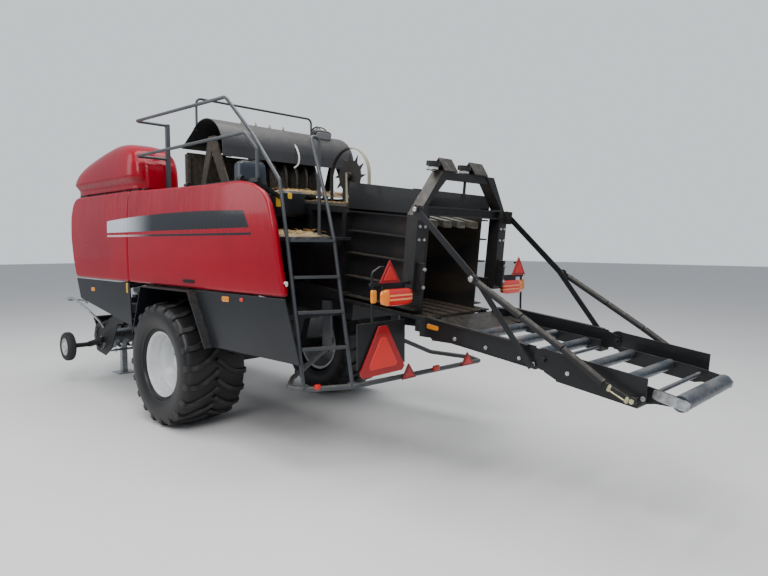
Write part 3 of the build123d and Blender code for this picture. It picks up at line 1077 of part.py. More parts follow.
with BuildPart() as chute_front:
    for side, name in SIDES:
        chute_plate(CHUTE_FRONT, side * FRONT_WEB[0], side * FRONT_WEB[1])
        chute_plate(CHUTE_FLANGE, side * FRONT_WEB[1], side * (FRONT_WEB[1] + 34))
        chute_plate(CHUTE_FOOT, side * BEARER[0], side * FRONT_WEB[1])
        chute_plate(FRONT_BEARER, side * BEARER[0], side * BEARER[1])
        chute_plate(FOLD_CHEEK, side * FRONT_WEB[0], side * FRONT_WEB[1])
        cross_bar(*past_mouth(*FOLD), 16, side * (FRONT_WEB[0] - 40), side * (REAR_WEB[1] + 24))
        cross_bar(*past_mouth(*STRAP_FOOT), 14, side * FRONT_WEB[0], side * 643)
        block((side * (RIB_OUT - 30), side * FRONT_WEB[0]), (aft(CHAMBER_MOUTH - 15), aft(CHAMBER_MOUTH + 120)),
              (MOUTH_Z - 585, MOUTH_Z - 420))
        chamber_block((side * WALL_OUT, side * RIB_OUT), (-90, 60), (FLOOR_V - 120, FLOOR_V - ROOF_T))
    chamber_block((-RIB_OUT, RIB_OUT), (-90, 60), (FLOOR_V - 130, FLOOR_V - 100))
    chute_plate(RAMP, -FRONT_WEB[0], FRONT_WEB[0])
save(chute_front.part, "chute_front")

with BuildPart() as chute_rear:
    for side, name in SIDES:
        chute_plate(CHUTE_REAR, side * REAR_WEB[0], side * REAR_WEB[1])
        cross_bar(*past_mouth(*FOLD), 80, side * REAR_WEB[0], side * REAR_WEB[1])
        cross_bar(*past_mouth(*FOLD), 16 + PIVOT_GAP, side * REAR_WEB[0], side * REAR_WEB[1], Mode.SUBTRACT)
        chute_plate(REAR_FOOT, side * BEARER[0], side * REAR_WEB[1])
        chute_plate(REAR_BEARER, side * BEARER[0], side * BEARER[1])
        cross_bar(*past_mouth(*CHAIN_PIN), 14, side * REAR_WEB[1], side * 664)
save(chute_rear.part, "chute_rear")
for section in ("front", "rear"):
    with BuildPart() as rollers:
        for back, up, radius, place in ROLLERS:
            if place == section:
                cross_bar(*past_mouth(back, up), radius, -ROLLER_HALF, ROLLER_HALF)
                cross_bar(*past_mouth(back, up), 14, -BEARER[0], BEARER[0])
        for back, up, radius, place in BARS:
            if place == section:
                cross_bar(*past_mouth(back, up), radius, -BEARER[0], BEARER[0])
    save(rollers.part, f"{section}_rollers")

# Straps that hold the front section, from the ring's lugs to the chute, and chains that hold the rear one
RING_PIN = (14, 468)
STRAP_JOINT = (600, -75)
STRAP_T = 12
UPPER_STRAP_X = 665
LOWER_STRAP_X = 649
CHAIN_X = 696
with BuildPart() as straps:
    for side, name in SIDES:
        box_tube((side * UPPER_STRAP_X, *past_mouth(RING_PIN[0] - 20, RING_PIN[1] + 20)),
                 (side * UPPER_STRAP_X, *past_mouth(STRAP_JOINT[0] + 12, STRAP_JOINT[1] - 12)), STRAP_T, 50)
        box_tube((side * LOWER_STRAP_X, *past_mouth(STRAP_JOINT[0] - 10, STRAP_JOINT[1] + 12)),
                 (side * LOWER_STRAP_X, *past_mouth(STRAP_FOOT[0] + 12, STRAP_FOOT[1] - 16)), STRAP_T, 44)
        cross_bar(*past_mouth(*RING_PIN), 14, side * RING_LUG[1], side * (UPPER_STRAP_X + 22))
        cross_bar(*past_mouth(*STRAP_JOINT), 14, side * (LOWER_STRAP_X - STRAP_T / 2), side * (CHAIN_X + 18))
save(straps.part, "straps")
SLEEVE_R = 26
SLEEVES = ((655, -107), (1025, -324), (1035, -330), (1345, -513), (1355, -519), (1640, -702))
for side, name in SIDES:
    with BuildPart() as chain:
        for number in range(0, len(SLEEVES), 2):
            tube([(side * CHAIN_X, *past_mouth(*SLEEVES[number + end])) for end in (0, 1)], SLEEVE_R)
        tube([(side * CHAIN_X, *past_mouth(*SLEEVES[end])) for end in (0, -1)], SLEEVE_R - 8)
        cross_bar(*past_mouth(*STRAP_JOINT), 34, side * (CHAIN_X - 8), side * (CHAIN_X + 8))
        box_tube((side * CHAIN_X, *past_mouth(*STRAP_JOINT)), (side * CHAIN_X, *past_mouth(680, -122)), 16, 40)
        box_tube((side * CHAIN_X, *past_mouth(1630, -696)), (side * CHAIN_X, *past_mouth(*CHAIN_PIN)), 14, 22)
        cross_bar(*past_mouth(*CHAIN_PIN), 26, side * (CHAIN_X - 8), side * (CHAIN_X + 8))
        cross_bar(*past_mouth(*STRAP_JOINT), 14 + PIVOT_GAP, side * (CHAIN_X - 30), side * (CHAIN_X + 30), Mode.SUBTRACT)
    save(chain.part, f"{name}_chute_chain")
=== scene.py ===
import json

import bmesh
import bpy
import numpy as np
from mathutils import Matrix, Vector

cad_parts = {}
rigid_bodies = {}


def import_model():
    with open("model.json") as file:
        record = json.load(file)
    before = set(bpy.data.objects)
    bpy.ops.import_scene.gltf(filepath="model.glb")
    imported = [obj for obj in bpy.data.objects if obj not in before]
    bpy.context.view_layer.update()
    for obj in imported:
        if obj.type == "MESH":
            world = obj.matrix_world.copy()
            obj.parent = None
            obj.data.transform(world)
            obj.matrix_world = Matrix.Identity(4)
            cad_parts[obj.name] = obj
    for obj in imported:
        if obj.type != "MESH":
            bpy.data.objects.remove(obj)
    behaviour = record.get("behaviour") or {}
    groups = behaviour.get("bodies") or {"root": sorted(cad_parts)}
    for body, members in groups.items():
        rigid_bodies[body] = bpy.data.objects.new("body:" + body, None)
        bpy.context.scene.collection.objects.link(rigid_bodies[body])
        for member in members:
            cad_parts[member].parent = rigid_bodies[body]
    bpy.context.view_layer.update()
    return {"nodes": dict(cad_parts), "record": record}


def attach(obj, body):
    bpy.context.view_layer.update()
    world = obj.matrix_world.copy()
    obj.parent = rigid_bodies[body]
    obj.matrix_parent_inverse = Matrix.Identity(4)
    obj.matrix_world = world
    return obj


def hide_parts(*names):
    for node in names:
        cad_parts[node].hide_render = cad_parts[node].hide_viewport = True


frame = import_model()

# Studio: a pale matt floor, a soft overcast surround and three broad lamps, seen by a
# 29 mm camera that stands behind the baler's left rear corner at the height of a raised hand.
AXLE = -0.570
CAMERA_PLACE = (4.514, AXLE + 6.367, 1.987)
CAMERA_YAW = np.radians(45.97)
CAMERA_PITCH = np.radians(4.054)
CAMERA_ROLL = np.radians(0.114)
CAMERA_LENS = 29.15

scene_objects = bpy.context.scene.collection.objects


def aimed(place, sight):
    """The matrix of a camera or a lamp at a place that looks along a sight line."""
    return Matrix.Translation(place) @ sight.to_track_quat("-Z", "Y").to_matrix().to_4x4()


sight = Vector((-np.sin(CAMERA_YAW) * np.cos(CAMERA_PITCH), -np.cos(CAMERA_YAW) * np.cos(CAMERA_PITCH),
                -np.sin(CAMERA_PITCH)))
camera_data = bpy.data.cameras.new("camera")
camera_data.lens = CAMERA_LENS
camera_data.clip_end = 200
camera = bpy.data.objects.new("camera", camera_data)
camera.matrix_world = aimed(CAMERA_PLACE, sight) @ Matrix.Rotation(CAMERA_ROLL, 4, "Z")
scene_objects.link(camera)
bpy.context.scene.camera = camera

SKY = (0.80, 0.86, 0.95, 1)
SKY_STRENGTH = 0.62
BACKDROP = (0.86, 0.92, 0.97, 1)
world = bpy.data.worlds.new("surround")
bpy.context.scene.world = world
world.use_nodes = True
surround = world.node_tree.nodes
overcast = surround["Background"]
overcast.inputs["Color"].default_value = SKY
overcast.inputs["Strength"].default_value = SKY_STRENGTH
backdrop = surround.new("ShaderNodeBackground")
backdrop.inputs["Color"].default_value = BACKDROP
seen = surround.new("ShaderNodeLightPath")
shown = surround.new("ShaderNodeMixShader")
for source, socket in ((seen.outputs["Is Camera Ray"], shown.inputs[0]),
                       (overcast.outputs[0], shown.inputs[1]), (backdrop.outputs[0], shown.inputs[2]),
                       (shown.outputs[0], surround["World Output"].inputs[0])):
    world.node_tree.links.new(source, socket)
LAMPS = (("key", (7.0, 6.0, 9.0), 6.0, 900), ("fill", (8.0, -6.0, 6.0), 6.0, 300),
         ("top", (0.0, 0.5, 10.0), 8.0, 1100))
LIT_POINT = Vector((0, 0, 1.2))
for lamp_name, lamp_place, lamp_size, lamp_power in LAMPS:
    lamp_data = bpy.data.lights.new(lamp_name, "AREA")
    lamp_data.size = lamp_size
    lamp_data.energy = lamp_power
    lamp = bpy.data.objects.new(lamp_name, lamp_data)
    lamp.matrix_world = aimed(lamp_place, LIT_POINT - Vector(lamp_place))
    scene_objects.link(lamp)


class Field:
    """A value that varies over a surface. Arithmetic on it adds Math nodes to its finish."""

    def __init__(self, finish, socket):
        self.finish, self.socket = finish, socket

    def __add__(self, other):
        return self.finish.maths("ADD", self, other)

    def __sub__(self, other):
        return self.finish.maths("SUBTRACT", self, other)

    def __rsub__(self, other):
        return self.finish.maths("SUBTRACT", other, self)

    def __mul__(self, other):
        return self.finish.maths("MULTIPLY", self, other)

    def __gt__(self, other):
        return self.finish.maths("GREATER_THAN", self, other)

    def __lt__(self, other):
        return self.finish.maths("LESS_THAN", self, other)

    __radd__ = __add__
    __rmul__ = __mul__


class Finish:
    """A surface finish: its nodes, its shader and the object's own coordinates."""

    def __init__(self, name, rough=0.5, metal=0.0, coat=0.0):
        self.material = bpy.data.materials.new(name)
        self.material.use_nodes = True
        self.tree = self.material.node_tree
        self.shader = self.tree.nodes["Principled BSDF"]
        start = {"Roughness": rough, "Metallic": metal, "Coat Weight": coat, "Coat Roughness": 0.08}
        for key, value in start.items():
            self.set(key, value)
        self.place = self.node("ShaderNodeTexCoord", {}, {}, "Object")
        self.facing = self.node("ShaderNodeTexCoord", {}, {}, "Normal")

    def fill(self, socket, value):
        """Links a field to a socket, or sets the socket to a plain value."""
        if isinstance(value, Field):
            self.tree.links.new(value.socket, socket)
        else:
            socket.default_value = value

    def node(self, kind, settings, sockets, output=0):
        """Adds a node, sets what it is, then fills its sockets with values or links."""
        made = self.tree.nodes.new(kind)
        for key, value in settings.items():
            setattr(made, key, value)
        for key, value in sockets.items():
            self.fill(made.inputs[key], value)
        return Field(self, made.outputs[output])

    def maths(self, operation, first, second):
        return self.node("ShaderNodeMath", {"operation": operation}, {0: first, 1: second})

    def between(self, value, low, high):
        """0 below low, 1 above high, and a smooth rise from one to the other."""
        return self.node("ShaderNodeMapRange", {"interpolation_type": "SMOOTHSTEP", "clamp": True},
                         {"Value": value, "From Min": low, "From Max": high})

    def grain(self, scale, detail=3.0, stretch=(1, 1, 1), rough=0.5):
        """Cloudy noise from 0 to 1 over the object's own coordinates."""
        where = self.node("ShaderNodeMapping", {}, {"Vector": self.place, "Scale": stretch})
        return self.node("ShaderNodeTexNoise", {}, {"Vector": where, "Scale": scale, "Detail": detail,
                                                    "Roughness": rough})

    def mix(self, amount, first, second):
        """A colour between two colours, each a field or red, green and blue."""
        made = self.tree.nodes.new("ShaderNodeMix")
        made.data_type = "RGBA"
        self.fill(made.inputs[0], amount)
        for index, colour in ((6, first), (7, second)):
            self.fill(made.inputs[index], colour if isinstance(colour, Field) else (*colour, 1))
        return Field(self, made.outputs[2])

    def waves(self, scale, direction, distortion=0.0):
        """Bands from 0 to 1 along one direction of the object's own coordinates."""
        return self.node("ShaderNodeTexWave", {"bands_direction": direction},
                         {"Vector": self.place, "Scale": scale, "Distortion": distortion})

    def axis(self, vector, letter):
        return self.node("ShaderNodeSeparateXYZ", {}, {"Vector": vector}, letter)

    def so_far(self):
        """The colour that the finish has up to now."""
        return Field(self, self.shader.inputs["Base Color"].links[0].from_socket)

    def from_axle(self, centre):
        """The distance from a wheel's axis, which runs along x through this y and z."""
        away = [self.axis(self.place, letter) - middle for letter, middle in zip("YZ", centre)]
        return self.maths("SQRT", away[0] * away[0] + away[1] * away[1], 0.0)

    def set(self, key, value):
        self.fill(self.shader.inputs[key], value)

    def coloured(self, amount, first, second):
        """Gives the finish a base colour between two colours."""
        self.set("Base Color", self.mix(amount, first, second))

    def bump(self, height, strength, distance):
        self.set("Normal", self.node("ShaderNodeBump", {}, {"Height": height, "Strength": strength,
                                                           "Distance": distance}))


# Floor: a wide sheet of pale, slightly mottled screed. It is part of the studio, not of the baler, and only
# takes the light and the shadows.
floor_finish = Finish("pale_floor", rough=0.85)
FLOOR_PALE = (0.70, 0.69, 0.67)
FLOOR_DARK = (0.64, 0.63, 0.61)
floor_finish.coloured(floor_finish.grain(0.6, 5), FLOOR_PALE, FLOOR_DARK)
FLOOR_HALF = 60
floor_mesh = bpy.data.meshes.new("floor")
FLOOR_CORNERS = ((-1, -1), (1, -1), (1, 1), (-1, 1))
floor_mesh.from_pydata([(x * FLOOR_HALF, y * FLOOR_HALF, 0) for x, y in FLOOR_CORNERS], [], [(0, 1, 2, 3)])
floor_mesh.materials.append(floor_finish.material)
floor = bpy.data.objects.new("floor", floor_mesh)
scene_objects.link(floor)


# Fabricated parts: rolled, folded and welded steel in satin black paint, and zinc-coated hitch, jack and
# shaft. Dust lies on what faces up, the paint has a fine orange peel, and cut edges are slightly rounded.
DUST = (0.27, 0.225, 0.17)


def painted(name, colour, rough, coat, dust=0.35, metal=0.0, soil=DUST, clinging=0.05):
    """Paint with faint tone changes, fine orange peel and dust on its upper faces."""
    finish = Finish(name, rough=rough, coat=coat, metal=metal)
    tone = finish.grain(1.7, 4)
    darker = [0.66 * part for part in colour]
    base = finish.mix(finish.between(tone, 0.35, 0.75), colour, darker)
    upward = finish.between(finish.axis(finish.facing, "Z"), 0.15, 0.95)
    speckle = finish.between(finish.grain(22, 6), 0.40, 0.72)
    film = (upward * (0.99 - clinging) + clinging) * (speckle * 0.65 + 0.35) * dust
    finish.coloured(film, base, soil)
    finish.set("Roughness", film * 0.5 + rough + tone * 0.08)
    finish.set("Specular IOR Level", 0.3)
    finish.bump(finish.grain(240, 2) * 0.3 + finish.grain(9, 3), 0.12, 0.002)
    return finish


def bare(name, colour, rough, scratch=(1, 12, 1), rust=0.0):
    """Bare or zinc-coated steel with spangle, brushed scratches and a little rust."""
    finish = Finish(name, rough=rough, metal=0.9)
    spangle = finish.grain(34, 3)
    lines = finish.grain(60, 4, stretch=scratch)
    darker = [0.6 * part for part in colour]
    base = finish.mix(finish.between(spangle, 0.3, 0.7), colour, darker)
    stain = finish.between(finish.grain(5, 6), 0.55, 0.70) * rust
    finish.coloured(stain, base, (0.17, 0.085, 0.04))
    finish.set("Roughness", spangle * 0.15 + lines * 0.12 + stain * 0.3 + (rough - 0.12))
    finish.set("Metallic", 0.92 - stain)
    finish.bump(lines + spangle * 0.5, 0.10, 0.001)
    return finish


def finished(piece, finish, body, slot, *nodes):
    """Gives a finished piece its material, the body that it rides on and the nodes that it stands for."""
    piece.data.materials.clear()
    piece.data.materials.append(finish.material)
    scene_objects.link(piece)
    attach(piece, body)
    if nodes:
        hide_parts(*nodes)
    return piece


def shaded(name, mesh, sharp):
    """A new piece, smooth but for the edges that are sharper than this many degrees."""
    mesh.shade_smooth()
    mesh.set_sharp_from_angle(angle=np.radians(sharp))
    return bpy.data.objects.new(name, mesh)


BEVEL_ANGLE = 28
BODY_OF = {node: body for body, nodes in frame["record"]["behaviour"]["bodies"].items() for node in nodes}
SLOT_OF = {entry["node"]: entry["material_slot"] for entry in frame["record"]["subparts"]}


def dressed(node, finish, edge=0.004, slot=None):
    """A solid's own surface made whole: doubles merged, flat faces joined, sharp edges bevelled."""
    mesh = frame["nodes"][node].data.copy()
    work = bmesh.new()
    work.from_mesh(mesh)
    bmesh.ops.remove_doubles(work, verts=work.verts, dist=2e-5)
    bmesh.ops.dissolve_limit(work, angle_limit=np.radians(0.4), verts=work.verts, edges=work.edges)
    work.to_mesh(mesh)
    work.free()
    piece = shaded(f"{node}_finished", mesh, BEVEL_ANGLE)
    if edge:
        rounding = piece.modifiers.new("rounded_edges", "BEVEL")
        rounding.width = edge
        rounding.segments = 2
        rounding.limit_method = "ANGLE"
        rounding.angle_limit = np.radians(BEVEL_ANGLE)
        rounding.harden_normals = True
    return finished(piece, finish, BODY_OF[node], slot or SLOT_OF[node], node)


black_paint = painted("satin_black_paint", (0.006, 0.007, 0.009), 0.36, 0.10, dust=0.22)
frame_paint = painted("frame_black_paint", (0.006, 0.007, 0.009), 0.40, 0.08, dust=0.22)
galvanised = bare("galvanised_steel", (0.46, 0.48, 0.50), 0.42, rust=0.15)
for black_part in ("axle_beam", "chute_front", "chute_rear", "drawbar", "feed_duct", "front_deck",
                   "jack_sleeve", "lamp_carriers", "main_frame", "main_gearbox", "panel_bars", "pickup_frame",
                   "shaft_guard", "shield_carriers", "top_beams", "twine_boxes"):
    dressed(black_part, frame_paint)
star_steel = painted("dusty_star_steel", (0.030, 0.028, 0.026), 0.5, 0.0, dust=0.5, metal=0.3)
dressed("star_wheel", star_steel, edge=0.003)
for zinc_part in ("flywheel", "hitch_eye", "input_shaft", "jack_leg"):
    dressed(zinc_part, galvanised, edge=0.003)

# Service platform: a steel checker plate with small raised lozenges, folded down round its edge and welded
# to the chamber's ribs.
tread_plate = bare("checker_plate", (0.10, 0.10, 0.11), 0.5, rust=0.5)
lozenge = tread_plate.waves(9.0, "DIAGONAL")
tread_plate.bump(tread_plate.between(lozenge, 0.62, 0.8), 0.5, 0.003)
dressed("platform", tread_plate)

# Tyres: wide flotation tyres. A smooth sidewall runs from the bead over a thin ring to the shoulder,
# and twenty bars a side start square at the shoulder and sweep forward to the tread's middle.
TYRE_X = 1.095
WHEEL = (AXLE, 0.680)
SIDES = ((1, "left"), (-1, "right"))


def quads(rows, columns, around=False):
    """The faces of a grid of points, row by row; around joins its last column to its first."""
    row = np.arange(rows - 1)[:, None] * columns
    column = np.arange(columns if around else columns - 1)[None, :]
    after = (column + 1) % columns
    below = row + columns
    return np.stack((row + column, row + after, below + after, below + column), -1).reshape(-1, 4)


def repeated(faces, copies, count):
    """The faces of one shape for a number of copies of its points."""
    return (faces[None] + np.arange(copies)[:, None, None] * count).reshape(-1, faces.shape[1])


def eased(points, rounds=3):
    """An open line with cut corners: in each round, each run keeps its points at one and three quarters."""
    points = np.array(points, float)
    for _ in range(rounds):
        kept = np.stack((0.75 * points[:-1] + 0.25 * points[1:], 0.25 * points[:-1] + 0.75 * points[1:]), 1)
        points = np.concatenate((points[:1], kept.reshape(-1, points.shape[1]), points[-1:]))
    return points


def turned(profile, steps, centre):
    """A profile of x and radius carried round a wheel's axis: y = radius x sine, z = radius x cosine."""
    turn = np.arange(steps) * 2 * np.pi / steps
    across, radius = np.array(profile, float).T[:, :, None]
    rings = np.broadcast_arrays(across, centre[0] + radius * np.sin(turn), centre[1] + radius * np.cos(turn))
    return np.stack(rings, -1), quads(len(profile), steps, around=True)


def skin(name, parts, finish, slot, *nodes, body="chassis", sharp=35, out=None, thick=0.0):
    """One piece from pairs of points and faces: doubles merged, faces turned outwards, shaded smooth."""
    starts = np.cumsum([0] + [points.size // 3 for points, faces in parts])
    mesh = bpy.data.meshes.new(name)
    mesh.from_pydata(np.concatenate([points.reshape(-1, 3) for points, faces in parts]).tolist(), [],
                     np.concatenate([faces + start for (points, faces), start in zip(parts, starts)]).tolist())
    work = bmesh.new()
    work.from_mesh(mesh)
    bmesh.ops.remove_doubles(work, verts=work.verts, dist=1e-5)
    bmesh.ops.dissolve_degenerate(work, edges=work.edges, dist=1e-6)
    bmesh.ops.recalc_face_normals(work, faces=work.faces)
    if out and sum((face.normal * face.calc_area() for face in work.faces), Vector()).dot(Vector(out)) < 0:
        bmesh.ops.reverse_faces(work, faces=work.faces)
    work.to_mesh(mesh)
    work.free()
    piece = shaded(name, mesh, sharp)
    if thick:
        wall = piece.modifiers.new("sheet_thickness", "SOLIDIFY")
        wall.thickness = thick
    return finished(piece, finish, body, slot, *nodes)


rubber = Finish("tyre_rubber", rough=0.75)
tyre_radius = rubber.from_axle(WHEEL)
mottle = rubber.grain(9, 5)
# The bar tops are painted lighter all round the tyre: partly dust, partly a painted sheen of the sky on them.
crown_dust_and_sheen = rubber.between(tyre_radius, 0.655, 0.668) * rubber.between(mottle, 0.30, 0.62)
wall_dust = rubber.between(rubber.grain(5, 6), 0.45, 0.8) * 0.15
soil = rubber.between(tyre_radius, 0.60, 0.65) * (1 - rubber.between(tyre_radius, 0.650, 0.658)) * 0.22
dusty = rubber.mix(wall_dust, (0.005, 0.005, 0.006), (0.030, 0.029, 0.028))
muddy = rubber.mix(soil, dusty, (0.045, 0.040, 0.034))
rubber.coloured(crown_dust_and_sheen * 0.34, muddy, (0.085, 0.083, 0.080))
rubber.set("Roughness", crown_dust_and_sheen * 0.15 + wall_dust * 0.3 + 0.40)
rubber.set("Specular IOR Level", 0.35)
rubber.bump(rubber.grain(120, 3), 0.2, 0.001)

WALL = ((0.2877, 0.338), (0.2877, 0.364), (0.300, 0.378), (0.318, 0.392), (0.330, 0.396), (0.331, 0.404),
        (0.333, 0.412), (0.350, 0.450), (0.360, 0.520), (0.356, 0.570), (0.352, 0.585), (0.352, 0.590),
        (0.344, 0.612), (0.318, 0.648), (0.20, 0.6475))
LINING = ((-0.256, 0.338), (-0.300, 0.42), (-0.326, 0.50), (-0.29, 0.606), (0.29, 0.606), (0.326, 0.50),
          (0.300, 0.42), (0.256, 0.338))
BAR_LINE = ((0.3550, 0.063, 0.598), (0.3515, 0.063, 0.640), (0.340, 0.063, 0.656), (0.300, 0.063, 0.664),
            (0.225, 0.060, 0.671), (0.107, -0.003, 0.678), (0.040, -0.058, 0.679), (-0.012, -0.104, 0.679))
BAR_SECTION = ((-1.35, 0.052), (-1.05, 0.010), (-0.96, 0.002), (-0.80, 0.0), (0.80, 0.0), (0.96, 0.002),
               (1.05, 0.010), (1.35, 0.052))
BARS = 20
TREAD_R = 0.665
ROOT_DEPTH = 0.052
CARCASS_STEPS = 160


def tread_bars(start):
    """Bars on the tread: a centre line of x, arc and top radius, with a section set square to it and sunk
    into the carcass. The arc becomes an angle round the axle, and each end closes on one point below the
    surface."""
    line = eased(BAR_LINE, 2)
    run = np.gradient(line[:, :2], axis=0)
    run /= np.linalg.norm(run, axis=1)[:, None]
    beside = np.stack((-run[:, 1], run[:, 0]), -1)
    half = np.interp(line[:, 0], (-0.012, 0.107, 0.225, 0.355), (0.019, 0.021, 0.026, 0.030))
    width, sink = np.array(BAR_SECTION).T
    flat = line[:, None, :2] + beside[:, None] * (half[:, None] * width)[..., None]
    height = line[:, None, 2] - sink
    flat = np.concatenate((np.repeat(line[:1, None, :2], len(width), 1), flat,
                           np.repeat(line[-1:, None, :2], len(width), 1)))
    height = np.concatenate((height[:1] * 0 + line[0, 2] - ROOT_DEPTH, height,
                             height[-1:] * 0 + line[-1, 2] - ROOT_DEPTH))
    angle = flat[..., 1] / TREAD_R + (np.arange(BARS) + start)[:, None, None] * 2 * np.pi / BARS
    y, z = WHEEL[0] + height * np.sin(angle), WHEEL[1] + height * np.cos(angle)
    points = np.stack(np.broadcast_arrays(flat[..., 0], y, z), -1)
    return points, repeated(quads(len(flat), len(width), around=True), BARS, len(flat) * len(width))


half_wall = eased(WALL, 2)
section = np.concatenate((half_wall, half_wall[::-1] * (-1, 1), LINING, half_wall[:1]))
carcass = turned(section, CARCASS_STEPS, WHEEL)
bars = tread_bars(0.5)
mirrored_bars = tread_bars(0.0)
tyre_parts = [carcass, bars, (mirrored_bars[0] * (-1, 1, 1), mirrored_bars[1])]


def at_wheel(parts, side):
    """Parts drawn about the middle of a wheel, moved out to the wheel of this side."""
    return [(points * (side, 1, 1) + (side * TYRE_X, 0, 0), faces) for points, faces in parts]


for side, name in SIDES:
    skin(f"{name}_flotation_tyre", at_wheel(tyre_parts, side), rubber, "tyre", f"{name}_tyre",
         body=f"{name}_wheel", sharp=30)

# Rims: silver-white painted steel, deeply dished, with a rolled lip, a barrel in two steps and a disc
# that ten nuts hold to the hub.
wheel_paint = painted("silver_white_wheel_paint", (0.60, 0.62, 0.63), 0.34, 0.3, dust=0.3)
DISH = ((0.2875, 0.3365), (0.2875, 0.3575), (0.296, 0.358), (0.300, 0.354), (0.298, 0.347), (0.290, 0.342),
        (0.286, 0.334), (0.280, 0.330), (0.226, 0.325), (0.219, 0.322), (0.216, 0.312), (0.212, 0.309),
        (0.172, 0.304), (0.164, 0.300), (0.158, 0.288), (0.140, 0.270), (0.100, 0.248), (0.070, 0.232),
        (0.062, 0.215), (0.060, 0.140), (0.062, 0.118), (0.070, 0.112), (0.074, 0.080), (0.122, 0.070),
        (0.130, 0.058), (0.130, 0.0))
BACK = ((-0.070, 0.0), (-0.070, 0.118), (-0.060, 0.125), (0.045, 0.125), (0.048, 0.240), (0.030, 0.318),
        (0.020, 0.325), (-0.285, 0.325), (-0.294, 0.330), (-0.300, 0.350), (-0.298, 0.358), (-0.2875, 0.3575),
        (-0.2875, 0.3365), (0.2875, 0.3365))
RIM_STEPS = 128
NUTS = 10
NUT_CIRCLE = 0.172
NUT_SEAT = 0.061


def bolt_heads(places, facing, radius, height):
    """Six-sided heads: rings of six corners at seat, shoulder and chamfered top, closed in the middle."""
    facing = np.array(facing, float) / np.linalg.norm(facing)
    first = np.cross(facing, (0.31, 0.52, 0.80))
    first /= np.linalg.norm(first)
    turn = np.arange(6)[:, None] * np.pi / 3
    ring = np.cos(turn) * first + np.sin(turn) * np.cross(facing, first)
    outline = ((0, -0.2), (1, -0.2), (1, 0.75), (0.84, 1), (0, 1))
    head = np.stack([radius * wide * ring + height * up * facing for wide, up in outline])
    return np.array(places, float)[:, None, None] + head, repeated(quads(5, 6, around=True), len(places), 30)


dish = turned(DISH + BACK, RIM_STEPS, WHEEL)
nut_turn = np.arange(NUTS) * 2 * np.pi / NUTS
nut_places = np.stack((np.full(NUTS, NUT_SEAT), WHEEL[0] + NUT_CIRCLE * np.sin(nut_turn),
                       WHEEL[1] + NUT_CIRCLE * np.cos(nut_turn)), -1)
nuts = bolt_heads(nut_places, (1, 0, 0), 0.017, 0.022)
for side, name in SIDES:
    skin(f"{name}_dished_rim", at_wheel((dish, nuts), side), wheel_paint, "wheel_paint", f"{name}_rim",
         body=f"{name}_wheel", sharp=32)

# Gauge wheels of the pickup: small black rubber tyres on pale pressed rims. One finish colours both by
# their distance from the axle.
gauge_rubber = painted("gauge_tyre_rubber", (0.020, 0.020, 0.021), 0.7, 0.0, dust=0.6)
GAUGE = (AXLE - 3.080, 0.505)
on_tyre = gauge_rubber.between(gauge_rubber.from_axle(GAUGE), 0.124, 0.128)
gauge_rubber.coloured(on_tyre, (0.52, 0.53, 0.53), (0.024, 0.024, 0.025))
for side, name in SIDES:
    dressed(f"{name}_gauge_wheel", gauge_rubber)

# Side shields: large pressed pans in glossy red, each a softly crowned face with a rolled edge all round,
# hinged along the top. A tapering band over a thin line runs along both, silver in front, black behind.
PANEL_X = 1.305
PAN_DEPTH = 0.058
SHEET = 0.005
SHIELD_OUTLINES = {
    "rear": ((-0.985, 1.525), (-0.985, 2.609), (-0.240, 2.590), (0.720, 2.572), (1.370, 2.572),
             (1.590, 2.530), (1.770, 2.443), (1.860, 2.326), (1.930, 2.110), (1.990, 1.810), (2.065, 1.525)),
    "front": ((-2.660, 1.525), (-2.740, 1.800), (-2.790, 2.050), (-2.790, 2.350), (-2.740, 2.520),
              (-2.660, 2.590), (-2.570, 2.605), (-0.995, 2.610), (-0.995, 1.525)),
}


def red_lacquer(name, streaks_and_sky_sheen):
    """Glossy red paint under a pinkish film, thicker near the top: rain-streaked dust and painted sky
    reflection.
    """
    finish = Finish(name, rough=0.3, coat=0.22)
    finish.set("Specular IOR Level", 0.16)
    tone = finish.grain(0.9, 4)
    base = finish.mix(finish.between(tone, 0.3, 0.75), (0.30, 0.0004, 0.012), (0.215, 0.0003, 0.009))
    drips_and_sky_sheen = finish.between(finish.grain(7, 6, stretch=(1, 1.7, 0.2), rough=0.7), 0.40, 0.78)
    # Painted reflection: the film's pink grows towards the top as the sky's reflection does, mixed with
    # streaked dust.
    film = drips_and_sky_sheen * finish.between(finish.axis(finish.place, "Z"), 1.95, 2.6) * streaks_and_sky_sheen
    finish.set("Roughness", film * 0.3 + tone * 0.06 + 0.24)
    finish.set("Coat Weight", 0.22 - film * 0.18)
    finish.bump(finish.grain(3.2, 3) + finish.grain(160, 2) * 0.04, 0.05, 0.01)
    return finish, finish.mix(film, base, (0.34, 0.07, 0.09))


shield_red, shield_base = red_lacquer("shield_red_lacquer", 0.34)
back = shield_red.axis(shield_red.place, "Y") - AXLE
up = shield_red.axis(shield_red.place, "Z")
band_top = 2.314 - (back - 0.3) * (back - 0.3) * 0.0155
BAND_LEAN = 0.59
band_end = back + up * BAND_LEAN
within = (back > -1.56) * (band_end < 1.472 + 2.289 * BAND_LEAN)
band = within * (up < band_top) * (up > back * 0.005 + 2.126)
line = within * (up > 2.066) * (up < 2.088)
fade = shield_red.between(back, -1.25, -0.30)
band_colour = shield_red.mix(fade, (0.52, 0.56, 0.60), (0.012, 0.014, 0.018))
line_colour = shield_red.mix(fade, (0.60, 0.40, 0.42), (0.012, 0.014, 0.018))
shield_red.coloured(line, shield_red.mix(band, shield_base, band_colour), line_colour)


